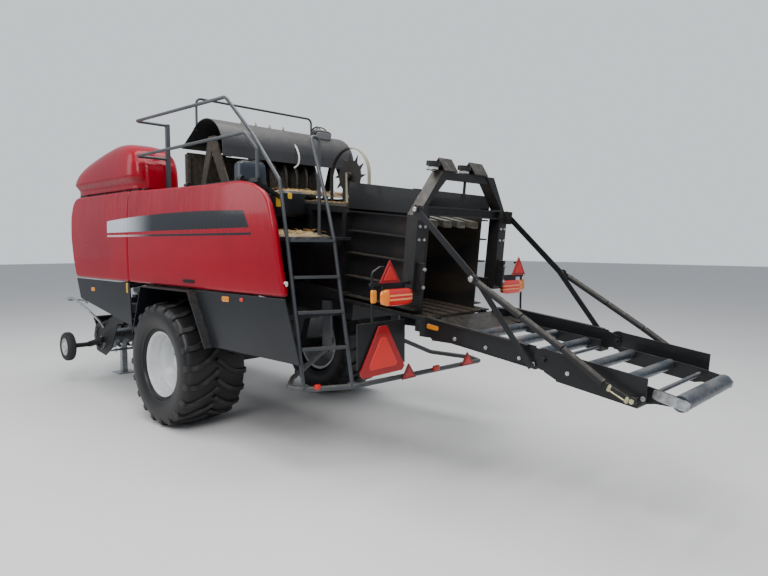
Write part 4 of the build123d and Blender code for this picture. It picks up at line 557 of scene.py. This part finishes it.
def filleted(outline, radius, steps=7):
    """A closed outline with round corners: each is the quadratic curve between two points beside it."""
    corner = np.array(outline, float)
    beside = []
    for other in (np.roll(corner, 1, 0), np.roll(corner, -1, 0)):
        length = np.linalg.norm(other - corner, axis=1)[:, None]
        beside.append(corner + (other - corner) / length * np.minimum(radius, 0.45 * length))
    part = np.linspace(0, 1, steps)[None, :, None]
    curves = ((1 - part) ** 2 * beside[0][:, None] + 2 * part * (1 - part) * corner[:, None]
              + part ** 2 * beside[1][:, None])
    return curves.reshape(-1, 2)


def spaced(outline, step):
    """The same closed outline with more points on its long runs, a step apart."""
    closed = np.concatenate((outline, outline[:1]))
    along = np.concatenate(([0], np.cumsum(np.linalg.norm(np.diff(closed, axis=0), axis=1))))
    places = np.unique(np.concatenate((along[:-1], np.arange(0, along[-1], step))).round(4))
    return np.stack([np.interp(places, along, column) for column in closed.T], -1)


def pan(outline, corner, face, roll, foot, step=0.08):
    """A pressed pan: a rim, a rolled edge of a quarter circle, then rings that shrink to the middle. The
    face says how far out each point lies."""
    edge = spaced(filleted(outline, corner), step)
    run = np.roll(edge, -1, 0) - np.roll(edge, 1, 0)
    run /= np.linalg.norm(run, axis=1)[:, None]
    turning = np.sign(np.sum(edge[:, 0] * np.roll(edge[:, 1], -1) - edge[:, 1] * np.roll(edge[:, 0], -1)))
    inward = turning * np.stack((-run[:, 1], run[:, 0]), -1)
    swing = np.linspace(0, np.pi / 2, 7)
    rolled = edge + inward * (roll * (1 - np.cos(swing)))[:, None, None]
    middle = rolled[-1].mean(0)
    shrink = np.array((0.985, 0.96, 0.92, 0.85, 0.75, 0.63, 0.50, 0.36, 0.20, 0.0))[:, None, None]
    flat = np.concatenate((edge[None], rolled, middle + (rolled[-1] - middle) * shrink))
    sunk = np.concatenate(([0.0], roll * (1 - np.sin(swing)), np.zeros(10)))[:, None]
    depth = face(flat[..., 0], flat[..., 1]) - sunk
    depth[0] = foot
    return np.concatenate((depth[..., None], flat), -1), quads(len(flat), len(edge), around=True)


def shield_face(y, z):
    """A flat middle that falls away towards the top and a little towards the bottom."""
    top, bottom = np.clip((z - 2.10) / 0.5, 0, 1), np.clip((1.85 - z) / 0.33, 0, 1)
    return PANEL_X - 0.030 * top ** 2 - 0.010 * bottom ** 2


for section, outline in SHIELD_OUTLINES.items():
    points, faces = pan(np.array(outline) + (AXLE, 0), 0.055, shield_face, 0.026, PANEL_X - PAN_DEPTH)
    for side, name in SIDES:
        skin(f"{name}_{section}_pan", [(points * (side, 1, 1), faces)], shield_red, "red_paint",
             f"{name}_{section}_shield", body=f"{name}_{section}_panel", out=(side, 0, 0), thick=SHEET,
             sharp=50)

# Front covers: two domed red mouldings beside the gearbox, hinged in front. Each is one skin with a broad
# round brow, a soft crease down its side, a waist over the shield and a raised panel on its rear face.
COVER_X = (0.640, 1.285)
WAIST_X = 1.218
COVER_Y = (AXLE - 2.800, AXLE - 0.832)
COVER_FOOT = 2.632
COVER_RISE = 0.593
COVER_RINGS = 52
COVER_TURNS = 208


def shaped(angle, power):
    """The cosine and sine of an angle, both lengthened until they lie on a superellipse of this power."""
    size = (np.abs(np.cos(angle)) ** power + np.abs(np.sin(angle)) ** power) ** (-1 / power)
    return np.cos(angle) * size, np.sin(angle) * size


def rise(low, high, value):
    """0 below low and 1 above high, with a smooth step between them."""
    part = np.clip((value - low) / (high - low), 0, 1)
    return part * part * (3 - 2 * part)


def cover_dome():
    """A superquadric dome over a rounded rectangle: the plan shrinks with a superellipse of height, and the
    height falls away towards the front. Crease, rear panel and waist then move the surface in or out."""
    climb, height = shaped(np.linspace(0, np.pi / 2, COVER_RINGS)[:, None], 3.6)
    plan_x, plan_y = shaped(np.arange(COVER_TURNS) * 2 * np.pi / COVER_TURNS, 7.5)
    low, high = np.array((COVER_X, COVER_Y)).T
    middle, half = (low + high) / 2, (high - low) / 2
    x = middle[0] + half[0] * climb * plan_x
    y = middle[1] + half[1] * climb * plan_y
    slope = 1 - 0.41 * np.clip((AXLE - 1.5 - y) / 1.27, 0, 1) ** 1.35
    z = COVER_FOOT + COVER_RISE * height * slope * (1 - 0.05 * ((x - middle[0]) / half[0]) ** 2)
    crease = (y - AXLE + 1.40) * 0.74 + (z - 3.05) * 0.67
    outer = rise(0.93, 1.05, x) * rise(-2.3, -1.7, y - AXLE)
    x = x - outer * 0.030 * (1 - rise(-0.05, 0.05, crease)) * (1 - rise(-1.0, -0.5, -crease))
    panel = (rise(0.70, 0.73, x) * (1 - rise(1.09, 1.12, x)) * rise(2.50, 2.53, z) * (1 - rise(2.94, 2.97, z))
             * rise(-0.95, -0.90, y - AXLE))
    y = y + 0.016 * panel - 0.016 * rise(-0.95, -0.90, y - AXLE)
    x = x - (COVER_X[1] - WAIST_X) * rise(1.10, 1.21, x) * (1 - rise(2.69, 2.79, z))
    return np.stack(np.broadcast_arrays(x, y, z), -1), quads(COVER_RINGS, COVER_TURNS, around=True)


cover_red, cover_base = red_lacquer("cover_red_lacquer", 0.10)
cover_red.set("Base Color", cover_base)
dome_points, dome_faces = cover_dome()
for side, name in SIDES:
    skin(f"{name}_domed_cover", [(dome_points * (side, 1, 1), dome_faces)], cover_red, "red_paint",
         f"{name}_front_cover", body=f"{name}_hood", out=(0, 0, 1), thick=SHEET, sharp=60)

# Knotter cover: a hinged half barrel of dark grey sheet steel, matt with crop dust. Four brass studs stand
# along its crown, and it carries a blank round sticker and a pale bent handle.
hood_grey = painted("dull_grey_hood_paint", (0.042, 0.043, 0.046), 0.36, 0.1, dust=0.6, metal=0.3,
                    soil=(0.135, 0.118, 0.100))
dressed("knotter_cover", hood_grey, edge=0.002, slot="black_paint")


def rounded(centre, half, axes=np.eye(3), plan=7.0, side=7.0, turns=32, rings=15):
    """A closed box with rounded edges: a superellipse plan that shrinks with a superellipse of height."""
    spread, height = shaped(np.linspace(-np.pi / 2, np.pi / 2, rings)[:, None], side)
    plan_x, plan_y = shaped(np.arange(turns) * 2 * np.pi / turns, plan)
    shape = np.stack(np.broadcast_arrays(spread * plan_x, spread * plan_y, height), -1) * half
    return shape @ np.array(axes, float) + np.array(centre, float), quads(rings, turns, around=True)


def tipped(run, drop):
    """Axes turned about x, so that the second one falls by drop over run."""
    return (1, 0, 0), (0, run, -drop), (0, drop, run)


def mirrored(*parts):
    """The given parts and their mirror images on the other side of the baler."""
    return list(parts) + [(points * (-1, 1, 1), faces) for points, faces in parts]


def piped(route, radius, sides=12, rounds=3, flat=1.0):
    """A round or flattened bar: rings square to an eased route, set out from its plane, closed at the ends."""
    line = np.linspace(*np.array(route, float), 8) if len(route) == 2 else eased(route, rounds)
    run = np.gradient(line, axis=0)
    run /= np.linalg.norm(run, axis=1)[:, None]
    normal = np.linalg.svd(line - line.mean(0))[2][-1]
    across = np.cross(run, normal)
    across /= np.linalg.norm(across, axis=1)[:, None]
    lift = np.cross(across, run)
    turn = np.arange(sides) * 2 * np.pi / sides
    size = np.broadcast_to(radius, len(line))[:, None, None]
    rings = line[:, None] + size * (np.cos(turn)[None, :, None] * across[:, None] * flat
                                    + np.sin(turn)[None, :, None] * lift[:, None])
    points = np.concatenate((np.repeat(line[:1, None], sides, 1), rings, np.repeat(line[-1:, None], sides, 1)))
    return points, quads(len(points), sides, around=True)


brass = bare("dull_brass", (0.35, 0.26, 0.13), 0.45)
HOOD_CROWN = 3.332
STUD_TOP = 3.385
stud_radius = np.array((9, 9, 13, 13, 13, 8, 8, 8)) / 1000
skin("hood_studs", [piped(((x, AXLE + 0.2, HOOD_CROWN), (x, AXLE + 0.2, STUD_TOP)), stud_radius, sides=10)
                    for x in (0.476, 0.282, 0.086, -0.111)], brass, "galvanised", body="knotter_hood")
sticker_yellow = painted("yellow_plate", (0.72, 0.44, 0.02), 0.45, 0.2, dust=0.3)
skin("hood_sticker", [rounded((0.619, AXLE + 0.462, 3.143), (0.040, 0.040, 0.003), tipped(0.52, 0.85), plan=2)],
     sticker_yellow, "reflector_red", body="knotter_hood")
pale_paint = painted("pale_grey_paint", (0.62, 0.62, 0.59), 0.45, 0.1, dust=0.3)
HANDLE_LINE = ((-0.035, AXLE + 0.47, 3.155), (-0.037, AXLE + 0.54, 3.12), (-0.037, AXLE + 0.605, 3.00),
               (-0.030, AXLE + 0.60, 2.90), (0.01, AXLE + 0.565, 2.86))
skin("hood_handle", [piped(HANDLE_LINE, 0.010)], pale_paint, "galvanised", body="knotter_hood")

# Work lamp: a black die-cast housing with a ribbed lens that faces the rear. It hangs in a bow from a bent
# bracket at the lamp bar's end.
lamp_black = painted("lamp_housing_black", (0.020, 0.020, 0.022), 0.5, 0.1, dust=0.5)
clear_lens = Finish("clear_lens", rough=0.12, coat=0.8)
ribs = clear_lens.waves(28.0, "X")
clear_lens.coloured(ribs, (0.06, 0.06, 0.065), (0.20, 0.21, 0.22))
clear_lens.bump(ribs, 0.4, 0.002)
LAMP_TILT = tipped(0.94, 0.34)
LAMP_BRACKET = ((-0.70, AXLE + 0.02, 3.450), (-0.68, AXLE + 0.10, 3.470), (-0.62, AXLE + 0.26, 3.455),
                (-0.57, AXLE + 0.36, 3.375))
LAMP_BOW = ((-0.66, AXLE + 0.38, 3.375), (-0.60, AXLE + 0.37, 3.420), (-0.52, AXLE + 0.37, 3.420),
            (-0.46, AXLE + 0.38, 3.375))
skin("work_lamp", [rounded((-0.56, AXLE + 0.38, 3.325), (0.140, 0.046, 0.064), LAMP_TILT, plan=4, side=4),
                   piped(LAMP_BRACKET, 0.010), piped(LAMP_BOW, 0.008)],
     lamp_black, "black_paint", body="knotter_hood")
skin("work_lamp_lens",
     [rounded((-0.56, AXLE + 0.422, 3.312), (0.115, 0.012, 0.042), LAMP_TILT, plan=5, side=5)],
     clear_lens, "lamp_red", body="knotter_hood")

# Knotters: dusty cast parts on a dusty painted table, with a strand of twine that runs up to each of them.
# Beside them stand the moulded plastic grease tank and, behind the shields, the balls of twine.
knotter_metal = bare("dusty_cast_metal", (0.095, 0.085, 0.075), 0.55, rust=0.8)
dressed("knotter_stack", knotter_metal, edge=0.0015)
table_paint = painted("dusty_table_paint", (0.020, 0.019, 0.018), 0.6, 0.0, dust=0.9,
                      soil=(0.13, 0.10, 0.07), clinging=0.55)
dressed("knotter_frame", table_paint, edge=0.003)
tank_plastic = painted("smoky_blue_plastic", (0.020, 0.030, 0.045), 0.30, 0.3, dust=0.35)
skin("grease_tank_body", [rounded((0.715, AXLE + 0.715, 2.700), (0.160, 0.085, 0.152)),
                          rounded((0.640, AXLE + 0.715, 2.858), (0.034, 0.034, 0.014), plan=2, side=5)],
     tank_plastic, "grey_plastic", "grease_tank")
twine = Finish("sisal_yellow_twine", rough=0.85)
winding = twine.waves(55.0, "Z", distortion=4.0)
twine.coloured(winding, (0.20, 0.10, 0.025), (0.62, 0.36, 0.10))
twine.bump(winding, 0.8, 0.004)
dressed("twine_balls", twine, edge=0.03)
KNOTTERS = 6
KNOTTER_STEP = 0.150
FIRST_TWINE = -0.353
TWINE_LINE = np.array(((0.0, AXLE + 0.285, 2.878), (0.004, AXLE + 0.330, 2.76), (0.0, AXLE + 0.380, 2.60)))
twine_xs = FIRST_TWINE + np.arange(KNOTTERS) * KNOTTER_STEP
skin("knotter_twines", [piped(TWINE_LINE + (x, 0, 0), 0.004, sides=6) for x in twine_xs], twine, "twine")

# Guard rails, ladder, bumper and the hoop round the star wheel: bent round tube in grey-black paint. The
# hoop's rear half is painted cream: painted light on its lit side, with some dust.
rail_paint = painted("worn_rail_paint", (0.052, 0.058, 0.065), 0.34, 0.2, dust=0.35)
for tube_part in ("guard_rails", "ladder", "bumper"):
    dressed(tube_part, rail_paint, edge=0.002)
hoop_paint = painted("hoop_guard_paint", (0.012, 0.012, 0.013), 0.45, 0.1, dust=0.3)
lit_and_dusty_half = hoop_paint.between(hoop_paint.axis(hoop_paint.place, "Y"), AXLE + 1.50, AXLE + 1.53)
hoop_paint.coloured(lit_and_dusty_half, hoop_paint.so_far(), (0.30, 0.28, 0.20))
dressed("star_guard", hoop_paint, edge=0.002)

# Switch box and relay box beside the knotters: folded black boxes, the second with a blank yellow plate on
# its outer face and another on its rear face.
dressed("switch_box", black_paint, edge=0.008)
skin("relay_box", [rounded((0.730, AXLE + 1.400, 2.375), (0.130, 0.112, 0.125), plan=9, side=9)],
     black_paint, "black_paint")
skin("relay_box_plates", [rounded((0.861, AXLE + 1.425, 2.412), (0.003, 0.052, 0.068), plan=12),
                          rounded((0.800, AXLE + 1.513, 2.448), (0.024, 0.003, 0.030), plan=12)],
     sticker_yellow, "reflector_red")

# Pressing chamber: ribbed walls, slatted floor and roof. Outside they are painted black; the crop has
# polished and browned the tunnel's inner faces, and chaff lies on every ledge.
tunnel_paint = painted("browned_chamber_steel", (0.009, 0.010, 0.012), 0.45, 0.05, dust=0.6,
                       soil=(0.15, 0.115, 0.075))
from_middle = tunnel_paint.maths("ABSOLUTE", tunnel_paint.axis(tunnel_paint.place, "X"), 0.0)
smear = tunnel_paint.grain(3.2, 6, stretch=(1, 0.35, 1.6))
inside = (1 - tunnel_paint.between(from_middle, 0.398, 0.404)) * tunnel_paint.between(smear, 0.32, 0.62)
tunnel_paint.coloured(inside * 0.55, tunnel_paint.so_far(), (0.052, 0.037, 0.024))
slat_steel = bare("crop_polished_steel", (0.25, 0.235, 0.20), 0.48, scratch=(1, 0.08, 1), rust=0.75)
for chamber_part in ("chamber_left_wall", "chamber_right_wall", "chamber_floor"):
    dressed(chamber_part, tunnel_paint, edge=0.003)
dressed("chamber_roof", slat_steel, edge=0.003)

# Tension ring: a welded black frame of box section round the tunnel's mouth, with bolted lugs and two pale
# cones under its rubber pads.
ring_paint = painted("ring_black_paint", (0.011, 0.011, 0.012), 0.40, 0.12, dust=0.55)
dressed("tension_ring", ring_paint, edge=0.005)
SLOPE = np.radians(5.5)
MOUTH = (AXLE + 3.000, 1.800)
CHAMBER_AXES = tipped(np.cos(SLOPE), np.sin(SLOPE))


def at_chamber(x, u, v):
    """The place at x across, u along from the mouth and v up from the sloping chamber's axis."""
    x, u, v = np.broadcast_arrays(x, u, v)
    return np.stack((x, MOUTH[0] + u * np.cos(SLOPE) + v * np.sin(SLOPE),
                     MOUTH[1] - u * np.sin(SLOPE) + v * np.cos(SLOPE)), -1)


bright_bolts = bare("zinc_bolts", (0.58, 0.58, 0.56), 0.35)
upper_x = np.array((0.560, 0.625) * 2 + (-0.560, -0.625) * 2)
upper_v = np.array((0.33, 0.33, 0.22, 0.22) * 2)
lower_x = np.array((1, 1, -1, -1)) * 0.594
lower_v = np.array((-0.02, -0.17) * 2)
skin("ring_bolts", [bolt_heads(at_chamber(upper_x, -0.020, upper_v), CHAMBER_AXES[1], 0.014, 0.014),
                    bolt_heads(at_chamber(lower_x, 0.040, lower_v), CHAMBER_AXES[1], 0.016, 0.016)],
     bright_bolts, "bright_steel")
cones = [rounded(at_chamber(x, -0.080, 0.818), (0.046, 0.046, 0.020), CHAMBER_AXES, plan=2, side=3)
         for x in (0.442, 0.012)]
skin("pad_cones", cones, pale_paint, "galvanised")

# Roller chute: tubular rollers, dark where paint is left and polished along the top by passing bales. The
# side plates are bolted through, and the last roller's ends have galvanised brackets.
roller_steel = bare("roller_steel", (0.120, 0.140, 0.165), 0.38, scratch=(0.15, 1, 1), rust=0.35)
crown = roller_steel.between(roller_steel.axis(roller_steel.facing, "Z"), 0.35, 0.95)
wear = crown * roller_steel.between(roller_steel.grain(6, 5, stretch=(0.5, 1, 1)), 0.35, 0.6)
roller_steel.coloured(wear * 0.75, roller_steel.so_far(), (0.33, 0.32, 0.30))
dressed("front_rollers", roller_steel)
dressed("rear_rollers", roller_steel)


def by_chute(x, back, up):
    """The place at x across, by its distance behind the mouth and its height over the mouth's middle."""
    return x, MOUTH[0] + back, MOUTH[1] + up


CHUTE_BOLTS = {"chute_front": (0.600, ((0.370, -0.565), (0.665, -0.600), (0.960, -0.640), (1.075, -0.670))),
               "chute_rear": (0.618, ((1.350, -0.695), (1.650, -0.735), (1.865, -0.780)))}
for chute, (plate_x, places) in CHUTE_BOLTS.items():
    heads = [bolt_heads([by_chute(side * plate_x, *place) for place in places], (side, 0, 0), 0.017, 0.012)
             for side in (1, -1)]
    skin(f"{chute}_bolts", heads, bright_bolts, "bright_steel", body=BODY_OF[chute])
bracket = rounded(by_chute(0.457, 1.975, -0.800), (0.007, 0.120, 0.036), tipped(0.97, 0.24), plan=5)
skin("end_roller_brackets", mirrored(bracket), galvanised, "galvanised", body="rear_chute")

# Hinge ears of the side shields: short steel blocks on the pans' upper rims, each with three eyes that turn
# round the long pin.
EAR_PLACES = {"rear": (-0.700, 0.300, 1.300), "front": (-2.400, -1.800, -1.200)}
PIN = (1.228, 2.600)
EYE_R = 0.0205
eye_turn = np.linspace(0, 2 * np.pi, 17)
for section, places in EAR_PLACES.items():
    for side, name in SIDES:
        ears = [piped(np.stack((side * PIN[0] + EYE_R * np.cos(eye_turn), 0 * eye_turn + AXLE + y + shift,
                                PIN[1] + EYE_R * np.sin(eye_turn)), -1).tolist(), 0.005)
                for y in places for shift in (0.038, 0.048, 0.058)]
        ears += [rounded((side * 1.2545, AXLE + y + 0.048, 2.588), (0.0065, 0.016, 0.010), plan=9, side=9)
                 for y in places]
        skin(f"{name}_{section}_hinge_ears", ears, black_paint, "black_paint", body=f"{name}_{section}_panel")

# Straps and sleeved chains: flat black bars bolted from the ring to the chute, then chains in rubber
# sleeves that end in turnbuckles with yellow zinc plating.
dressed("straps", black_paint, edge=0.003, slot="black_paint")
strap_bolts = [bolt_heads([by_chute(side * x, back, up)], (side, 0, 0), radius, 0.016)
               for x, back, up, radius in ((0.682, 0.014, 0.468, 0.022), (0.712, 0.600, -0.075, 0.024))
               for side in (1, -1)]
skin("strap_bolts", strap_bolts, bright_bolts, "bright_steel")
sleeve_rubber = painted("sleeve_rubber", (0.014, 0.0145, 0.016), 0.5, 0.0, dust=0.35)
zinc_yellow = bare("yellow_zinc_plating", (0.62, 0.58, 0.36), 0.38, rust=0.2)
CHAIN_X = 0.696
CHAIN_TILT = tipped(0.90, 0.43)
ROD_ENDS = ((1.675, -0.728), (1.800, -0.788))
for side, name in SIDES:
    dressed(f"{name}_chute_chain", sleeve_rubber, edge=0.002)
    rods = [piped([by_chute(side * CHAIN_X, back, up + drop) for back, up in ROD_ENDS], 0.0055)
            for drop in (0.014, -0.014)]
    ends = [rounded(by_chute(side * CHAIN_X, *place), (0.012, 0.012, 0.022), CHAIN_TILT, plan=5, side=5)
            for place in ((1.680, -0.730), (1.795, -0.786))]
    last_bolt = bolt_heads([by_chute(side * 0.706, 1.830, -0.788)], (side, 0, 0), 0.018, 0.014)
    skin(f"{name}_chain_fittings", rods + ends + [last_bolt], zinc_yellow, "galvanised", body=f"{name}_chain")

# Rear lamps: moulded lenses, red with two amber-white stripes and an amber outer end, each under a black
# bracket that holds it to its carrier.
lens = Finish("three_field_lens", rough=0.18, coat=0.7)
lens_x = lens.maths("ABSOLUTE", lens.axis(lens.place, "X"), 0.0)
amber_field = lens.mix(lens_x > 0.955, (0.62, 0.010, 0.008), (0.85, 0.20, 0.01))
lens_height = lens.axis(lens.place, "Z")
stripes = (lens_height > 1.534) * (lens_height < 1.548) + (lens_height > 1.568) * (lens_height < 1.582)
lens.coloured(stripes * (lens_x < 0.95), amber_field, (0.85, 0.30, 0.10))
flutes = lens.waves(22.0, "X")
lens.bump(flutes, 0.35, 0.002)
LAMP_X = 0.845
skin("rear_lamp_clusters", mirrored(rounded((LAMP_X, MOUTH[0] - 0.038, 1.560), (0.175, 0.026, 0.068), side=5)),
     lens, "lamp_red", "rear_lamps")
skin("rear_lamp_brackets",
     mirrored(rounded((LAMP_X, MOUTH[0] - 0.078, 1.640), (0.130, 0.014, 0.034), plan=9, side=9),
              rounded((LAMP_X, MOUTH[0] - 0.062, 1.612), (0.100, 0.022, 0.012), plan=9, side=9)),
     black_paint, "black_paint")

# Warning plates: a slow-vehicle triangle with cut corners and four small reflective triangles, each a dark
# red border pressed round a brighter field, and two small red lamps on the bumper.
border_red = painted("dark_red_border", (0.30, 0.002, 0.004), 0.35, 0.3, dust=0.1)
field_red = painted("bright_red_field", (0.62, 0.012, 0.006), 0.30, 0.4, dust=0.05)
FIELD_SHARE = 0.64
SIGNS = (
    (MOUTH[0] - 0.052, 0.016, ((1.250, 0.990), (1.225, 0.947), (0.775, 0.955), (0.745, 0.990), (0.955, 1.340),
                               (1.045, 1.340))),
    (MOUTH[0] - 0.026, 0.012, ((1.065, 1.678), (0.822, 1.678), (0.945, 1.862))),
    (MOUTH[0] - 0.026, 0.012, ((-1.065, 1.678), (-0.822, 1.678), (-0.945, 1.862))),
    (AXLE + 2.406, 0.012, ((0.180, 0.690), (-0.030, 0.690), (0.078, 0.842))),
    (AXLE + 2.445, 0.012, ((-0.700, 0.700), (-0.930, 0.700), (-0.815, 0.845))))


def sign(place, depth, outline, shrink, lift):
    """A shallow pan that faces the rear, shrunk about its middle by one factor and raised by a lift."""
    outline = np.array(outline)
    drawn = outline.mean(0) + (outline - outline.mean(0)) * shrink
    points, faces = pan(drawn, 0.012, lambda x, z: place + depth + lift + 0 * x, 0.003, place, step=0.05)
    return points[..., (1, 0, 2)], faces


skin("sign_borders", [sign(*one, 1.0, 0.0) for one in SIGNS], border_red, "reflector_red",
     "warning_plates", out=(0, 1, 0), thick=0.002)
skin("sign_fields", [sign(*one, FIELD_SHARE, 0.004) for one in SIGNS], field_red, "reflector_red",
     out=(0, 1, 0), thick=0.002)
skin("bumper_lamps", [rounded((-0.325, AXLE + 2.425, 0.735), (0.048, 0.018, 0.028), plan=4),
                      rounded((1.055, AXLE + 2.215, 0.735), (0.030, 0.020, 0.022), plan=3)],
     field_red, "lamp_red")

# Lower side panels and fenders: flat blue-black sheet, with stuck-on amber, red and yellow reflectors.
# Amber ones stand on the lamp carriers and on the chute's sides too.
panel_paint = painted("blue_black_panel_paint", (0.0055, 0.0075, 0.011), 0.34, 0.15, dust=0.18)
dressed("lower_panels", panel_paint)
dressed("fenders", panel_paint, edge=0.003)
amber = painted("amber_reflector", (0.80, 0.26, 0.01), 0.2, 0.7, dust=0.05)
red_mark = painted("red_reflector", (0.60, 0.015, 0.01), 0.2, 0.7, dust=0.05)
MARK_X = 1.303
skin("side_reflectors",
     mirrored(rounded((MARK_X, AXLE - 2.065, 1.386), (0.006, 0.052, 0.024), plan=6, side=8),
              rounded((MARK_X, AXLE + 1.151, 1.457), (0.006, 0.060, 0.026), plan=6, side=8),
              rounded((1.085, MOUTH[0] - 0.062, 1.575), (0.022, 0.016, 0.052))), amber, "reflector_red")
skin("side_red_marks", mirrored(rounded((MARK_X, AXLE + 1.426, 1.468), (0.006, 0.028, 0.016))),
     red_mark, "reflector_red")
skin("side_yellow_strips", mirrored(rounded((1.302, AXLE - 1.03, 1.455), (0.004, 0.020, 0.062), plan=10)),
     sticker_yellow, "reflector_red")
skin("chute_reflectors",
     mirrored(rounded(by_chute(0.602, 0.140, -0.493), (0.005, 0.060, 0.020), tipped(0.99, 0.12))),
     amber, "reflector_red")

# Shield fittings: a dark patch on each rear shield's lower edge, painted as the shade inside its pressed
# slot handle, and a pale cast latch bolted on at its rear corner.
slot_shade_black = painted("slot_shadow_black", (0.010, 0.006, 0.007), 0.6, 0.0, dust=0.1)
for side, name in SIDES:
    skin(f"{name}_slot_handle", [rounded((side * 1.300, AXLE + 0.445, 1.600), (0.006, 0.120, 0.017), plan=5)],
         slot_shade_black, "black_paint", body=f"{name}_rear_panel")
    skin(f"{name}_latch", [rounded((side * 1.266, AXLE + 2.050, 1.650), (0.012, 0.018, 0.012), plan=3, side=3),
                           rounded((side * 1.268, AXLE + 2.068, 1.640), (0.012, 0.010, 0.022), plan=3, side=3)],
         pale_paint, "galvanised", body=f"{name}_rear_panel")

# Pickup: a reel with sprung tines between bent zinc bands that strip the crop off them, and at each end a
# bent guard tube that runs up and forward from the side plate, then in before the tines.
dressed("pickup_reel", galvanised, edge=0)
REEL = (AXLE - 2.700, 0.640)
BAND_R = 0.165
band_turn = np.radians(np.linspace(25, 250, 28))
band_xs = (np.arange(15) - 7) * (2 * 0.900 / 13)
bands = [piped(np.stack((band_turn * 0 + x, REEL[0] - BAND_R * np.sin(band_turn),
                         REEL[1] + BAND_R * np.cos(band_turn)), -1), 0.030, sides=8, rounds=0, flat=0.12)
         for x in band_xs]
skin("stripper_bands", bands, galvanised, "galvanised", body="pickup")
GUARD_LINE = np.array((
    (0.972, AXLE - 2.60, 0.80), (1.02, AXLE - 2.58, 0.88), (1.13, AXLE - 2.70, 1.04), (1.15, AXLE - 3.25, 1.21),
    (1.15, AXLE - 3.60, 1.13), (0.86, AXLE - 3.60, 1.13), (0.82, AXLE - 3.58, 1.06)))
skin("pickup_guard_tubes", [piped(GUARD_LINE * (side, 1, 1), 0.017) for side in (1, -1)],
     galvanised, "galvanised", body="pickup")

# Straw and chaff that has settled on the platform and round the knotters: low mounds of short dry stalks
# and dust, with longer stalks lying loose on top.
straw = Finish("settled_straw", rough=0.9)
stalks_tone = straw.grain(60, 6, stretch=(1, 0.25, 1), rough=0.7)
straw_patch = straw.between(straw.grain(5, 4), 0.40, 0.62)
fresh = straw.mix(stalks_tone, (0.10, 0.065, 0.03), (0.42, 0.31, 0.15))
straw.coloured(straw_patch, fresh, (0.045, 0.035, 0.025))
straw.bump(stalks_tone, 0.9, 0.01)
TABLE_FALL = -0.0963
MOUNDS = ((0.81, 1.36, 0.29, 0.47, 2.046, 0.0, 0.085), (0.20, 1.02, 0.40, 0.20, 2.516, TABLE_FALL, 0.06),
          (-0.45, 1.05, 0.30, 0.22, 2.513, TABLE_FALL, 0.06), (0.42, 1.86, 0.07, 0.50, 2.352, TABLE_FALL, 0.04))
STALKS = 90
STALK_R = 0.0022


def mound(x, y, half_x, half_y, floor_z, fall, height):
    """A low heap on a grid: a smooth dome times ripples of sines, on a floor that falls to the rear."""
    across, along = np.meshgrid(np.linspace(-1, 1, 33), np.linspace(-1, 1, 41), indexing="ij")
    dome = np.clip((1 - across ** 4) * (1 - along ** 4), 0, 1) ** 0.6
    ripple = (0.62 + 0.16 * np.sin(9 * across + 5 * along) + 0.12 * np.sin(21 * along - 8 * across + 1.3)
              + 0.10 * np.sin(33 * across + 27 * along))
    z = floor_z + fall * half_y * along + height * dome * ripple
    return np.stack((x + half_x * across, AXLE + y + half_y * along, z), -1), quads(33, 41)


def loose_stalks(x, y, half_x, half_y, floor_z, fall, height, count):
    """Thin three-sided stalks laid on a heap in all directions: two rings of three points and two tips."""
    spread = np.random.default_rng(7 + count)
    place = spread.uniform(-0.85, 0.85, (count, 2))
    middle = np.stack((x + half_x * place[:, 0], AXLE + y + half_y * place[:, 1],
                       floor_z + fall * half_y * place[:, 1] + height * spread.uniform(0.45, 0.95, count)), -1)
    turn = spread.uniform(0, np.pi, count)
    run = np.stack((np.cos(turn), np.sin(turn), spread.uniform(-0.25, 0.25, count)), -1)
    run = run * spread.uniform(0.02, 0.07, count)[:, None]
    angle = np.arange(3) * 2 * np.pi / 3
    across = np.stack((-np.sin(turn), np.cos(turn), 0 * turn), -1)[:, None, None]
    round_stalk = np.cos(angle)[:, None] * across + np.sin(angle)[:, None] * np.array((0, 0, 1.0))
    along = np.array((-1.0, -0.98, 0.98, 1.0))[:, None, None]
    thickness = STALK_R * np.array((0, 1, 1, 0))[:, None, None]
    rod = middle[:, None, None] + run[:, None, None] * along + thickness * round_stalk
    return rod, repeated(quads(4, 3, around=True), count, 12)


skin("settled_straw", [mound(*place) for place in MOUNDS], straw, "twine", out=(0, 0, 1), thick=0.003)
skin("loose_straw", [loose_stalks(*place, STALKS) for place in MOUNDS], twine, "twine")
